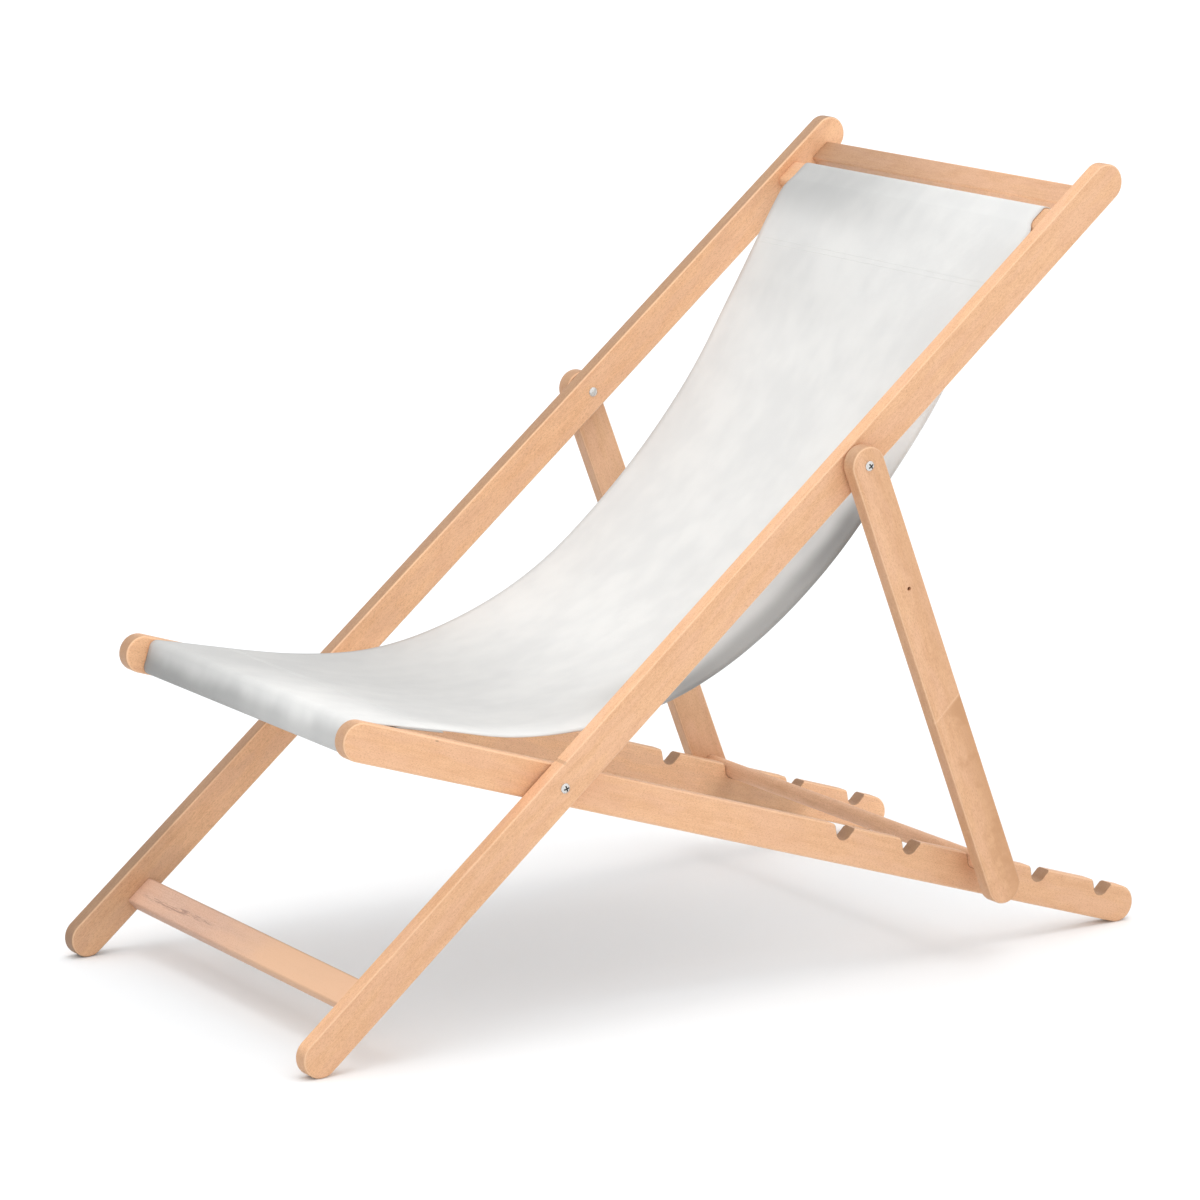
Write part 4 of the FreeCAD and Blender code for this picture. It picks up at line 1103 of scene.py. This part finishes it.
def canvas_finish(name, dark, light, mottling, with_painted_shade):
    material, finish = new_finish(name)
    flat = finish.node("ShaderNodeUVMap", {"uv_map": weave_map.name})
    across, along, _ = finish.parts(flat)
    warp = finish.sum("SINE", across * (math.pi / THREAD_PITCH))
    weft = finish.sum("SINE", along * (math.pi / THREAD_PITCH))
    slub = finish.noise(flat, SLUBS[0]) + finish.noise(flat, SLUBS[1])
    cloud = finish.noise(flat, CLOUDS, 3, 0.55)
    patch = finish.noise(flat, PATCHES)
    mottle = cloud * 0.66 + patch * 0.34 + slub * 0.04
    shade = finish.step(mottle, MIDDLE_MOTTLE - mottling, MIDDLE_MOTTLE + mottling)
    colour = finish.tint(shade, dark, light)
    if with_painted_shade:
        wander = (cloud - 0.5) * ZONE_WANDER
        # The canvas colour is scaled here by its painted shade.
        colour = finish.scaled(colour, painted_shade_tone(finish, across + wander, along + wander))
    selvedge = finish.step(finish.sum("ABSOLUTE", across),
                           SELVEDGE_AT - SELVEDGE_FADE, SELVEDGE_AT + SELVEDGE_FADE)
    height = (warp * weft * 0.5 + slub * 0.35) * (1 - selvedge * 0.5)
    surface(finish, finish.scaled(colour, 1 - selvedge * 0.03), 0.86 + slub * 0.04,
            height, WEAVE_DEPTH,
            Sheen_Weight=0.15, Sheen_Roughness=0.5, Specular_IOR_Level=0.25)
    return material


canvas = canvas_finish("canvas_weave", CANVAS_DARK, CANVAS_LIGHT, 0.14, True)
canvas_below = canvas_finish("canvas_underside", BELOW_DARK, BELOW_LIGHT, 0.17, False)
print("canvas finishes", canvas.name, canvas_below.name)

# %% Canvas of the right thickness, with its two finishes
CANVAS_FILL = 0.96

sling.data.materials.append(canvas)
sling.data.materials.append(canvas_below)
pick(sling)
bpy.ops.object.shade_smooth()
wall = sling.modifiers.new("thickness", "SOLIDIFY")
wall.thickness = THICKNESS * CANVAS_FILL
wall.offset = 0
wall.material_offset = 1
bpy.ops.object.modifier_apply(modifier=wall.name)
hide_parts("sling")
print("canvas: %d faces" % len(sling.data.polygons))

# %% [markdown]
# ## Seams
# Each hem is held by two rows of stitches, which show on both sides of the doubled cloth. The
# thread is as pale as the canvas. One stitch is a small long bead. An array repeats it across
# the canvas, the row is copied, and each vertex is then laid on the cloth, so the rows follow
# its waves.

# %% The thread
THREAD_DARK, THREAD_LIGHT = (0.69, 0.69, 0.68, 1), (0.77, 0.77, 0.755, 1)
TWIST_SCALES, TWIST_DEPTH, THREAD_ROUGHNESS = (1500, 1500, 1500), 0.00005, 0.7

thread, finish = new_finish("seam_thread")
twist = finish.noise(finish.place(), TWIST_SCALES)
surface(finish, finish.tint(twist, THREAD_DARK, THREAD_LIGHT), THREAD_ROUGHNESS,
        twist, TWIST_DEPTH)
print("thread", thread.name)

# %% Stitch rows
STITCH_PITCH, STITCH_LENGTH, STITCH_RADIUS = 0.0036, 0.0026, 0.00032
SEAM_MARGIN = 0.006
ROW_INSETS = (0.003, 0.009)


def stitch_rows(name, rows_at):
    """Rows of stitches. Each row has its length along the canvas and its lift off the path."""
    bpy.ops.object.select_all(action="DESELECT")
    bpy.ops.mesh.primitive_uv_sphere_add(segments=6, ring_count=4, radius=1,
                                         rotation=(0, math.radians(90), 0))
    rows = bpy.context.object
    rows.name = name
    rows.scale = (STITCH_RADIUS, STITCH_RADIUS, STITCH_LENGTH / 2)
    bpy.ops.object.transform_apply(location=True, rotation=True, scale=True)
    count = int((CANVAS_WIDTH - 2 * SEAM_MARGIN) / STITCH_PITCH)
    line = rows.modifiers.new("line", "ARRAY")
    line.use_relative_offset = False
    line.use_constant_offset = True
    line.constant_offset_displace = (STITCH_PITCH, 0, 0)
    line.count = count
    bpy.ops.object.modifier_apply(modifier=line.name)
    bpy.ops.object.mode_set(mode="EDIT")
    bpy.ops.mesh.select_all(action="SELECT")
    bpy.ops.transform.translate(value=(-(count - 1) * STITCH_PITCH / 2, 0, 0))
    for _ in rows_at[1:]:
        bpy.ops.mesh.duplicate_move(TRANSFORM_OT_translate={"value": (0, 1, 0)})
    bpy.ops.object.mode_set(mode="OBJECT")
    for vertex in rows.data.vertices:
        row = round(vertex.co.y)
        at, lift = rows_at[row]
        index = min(range(len(lengths)), key=lambda mark: abs(lengths[mark] - at))
        heading = marks[index][1]
        along = at - lengths[index] + vertex.co.y - row
        offset = ahead_of(heading) * along + aside_of(heading) * (vertex.co.z + lift)
        place = cloth_point(index, vertex.co.x / CANVAS_WIDTH)
        vertex.co = place + Vector((0, offset.x, offset.y))
    bpy.ops.object.shade_smooth()
    rows.data.materials.append(thread)
    return rows


OUTER, INNER = THICKNESS / 2, -1.5 * THICKNESS
seams = []
for name, sewn, inwards in (("seam_front", front_sewn, -1), ("seam_top", top_sewn, 1)):
    places = [sewn + inwards * inset for inset in ROW_INSETS]
    seams.append(stitch_rows(name, [(place, lift) for lift in (OUTER, INNER) for place in places]))
print("seams:", [seam.name for seam in seams])

# %% [markdown]
# ## The cloth's place
# The sling joins two frames that turn against each other. Here the sling and its seams only have
# their places applied to their meshes.

for piece in [sling, *seams]:
    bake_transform(piece)
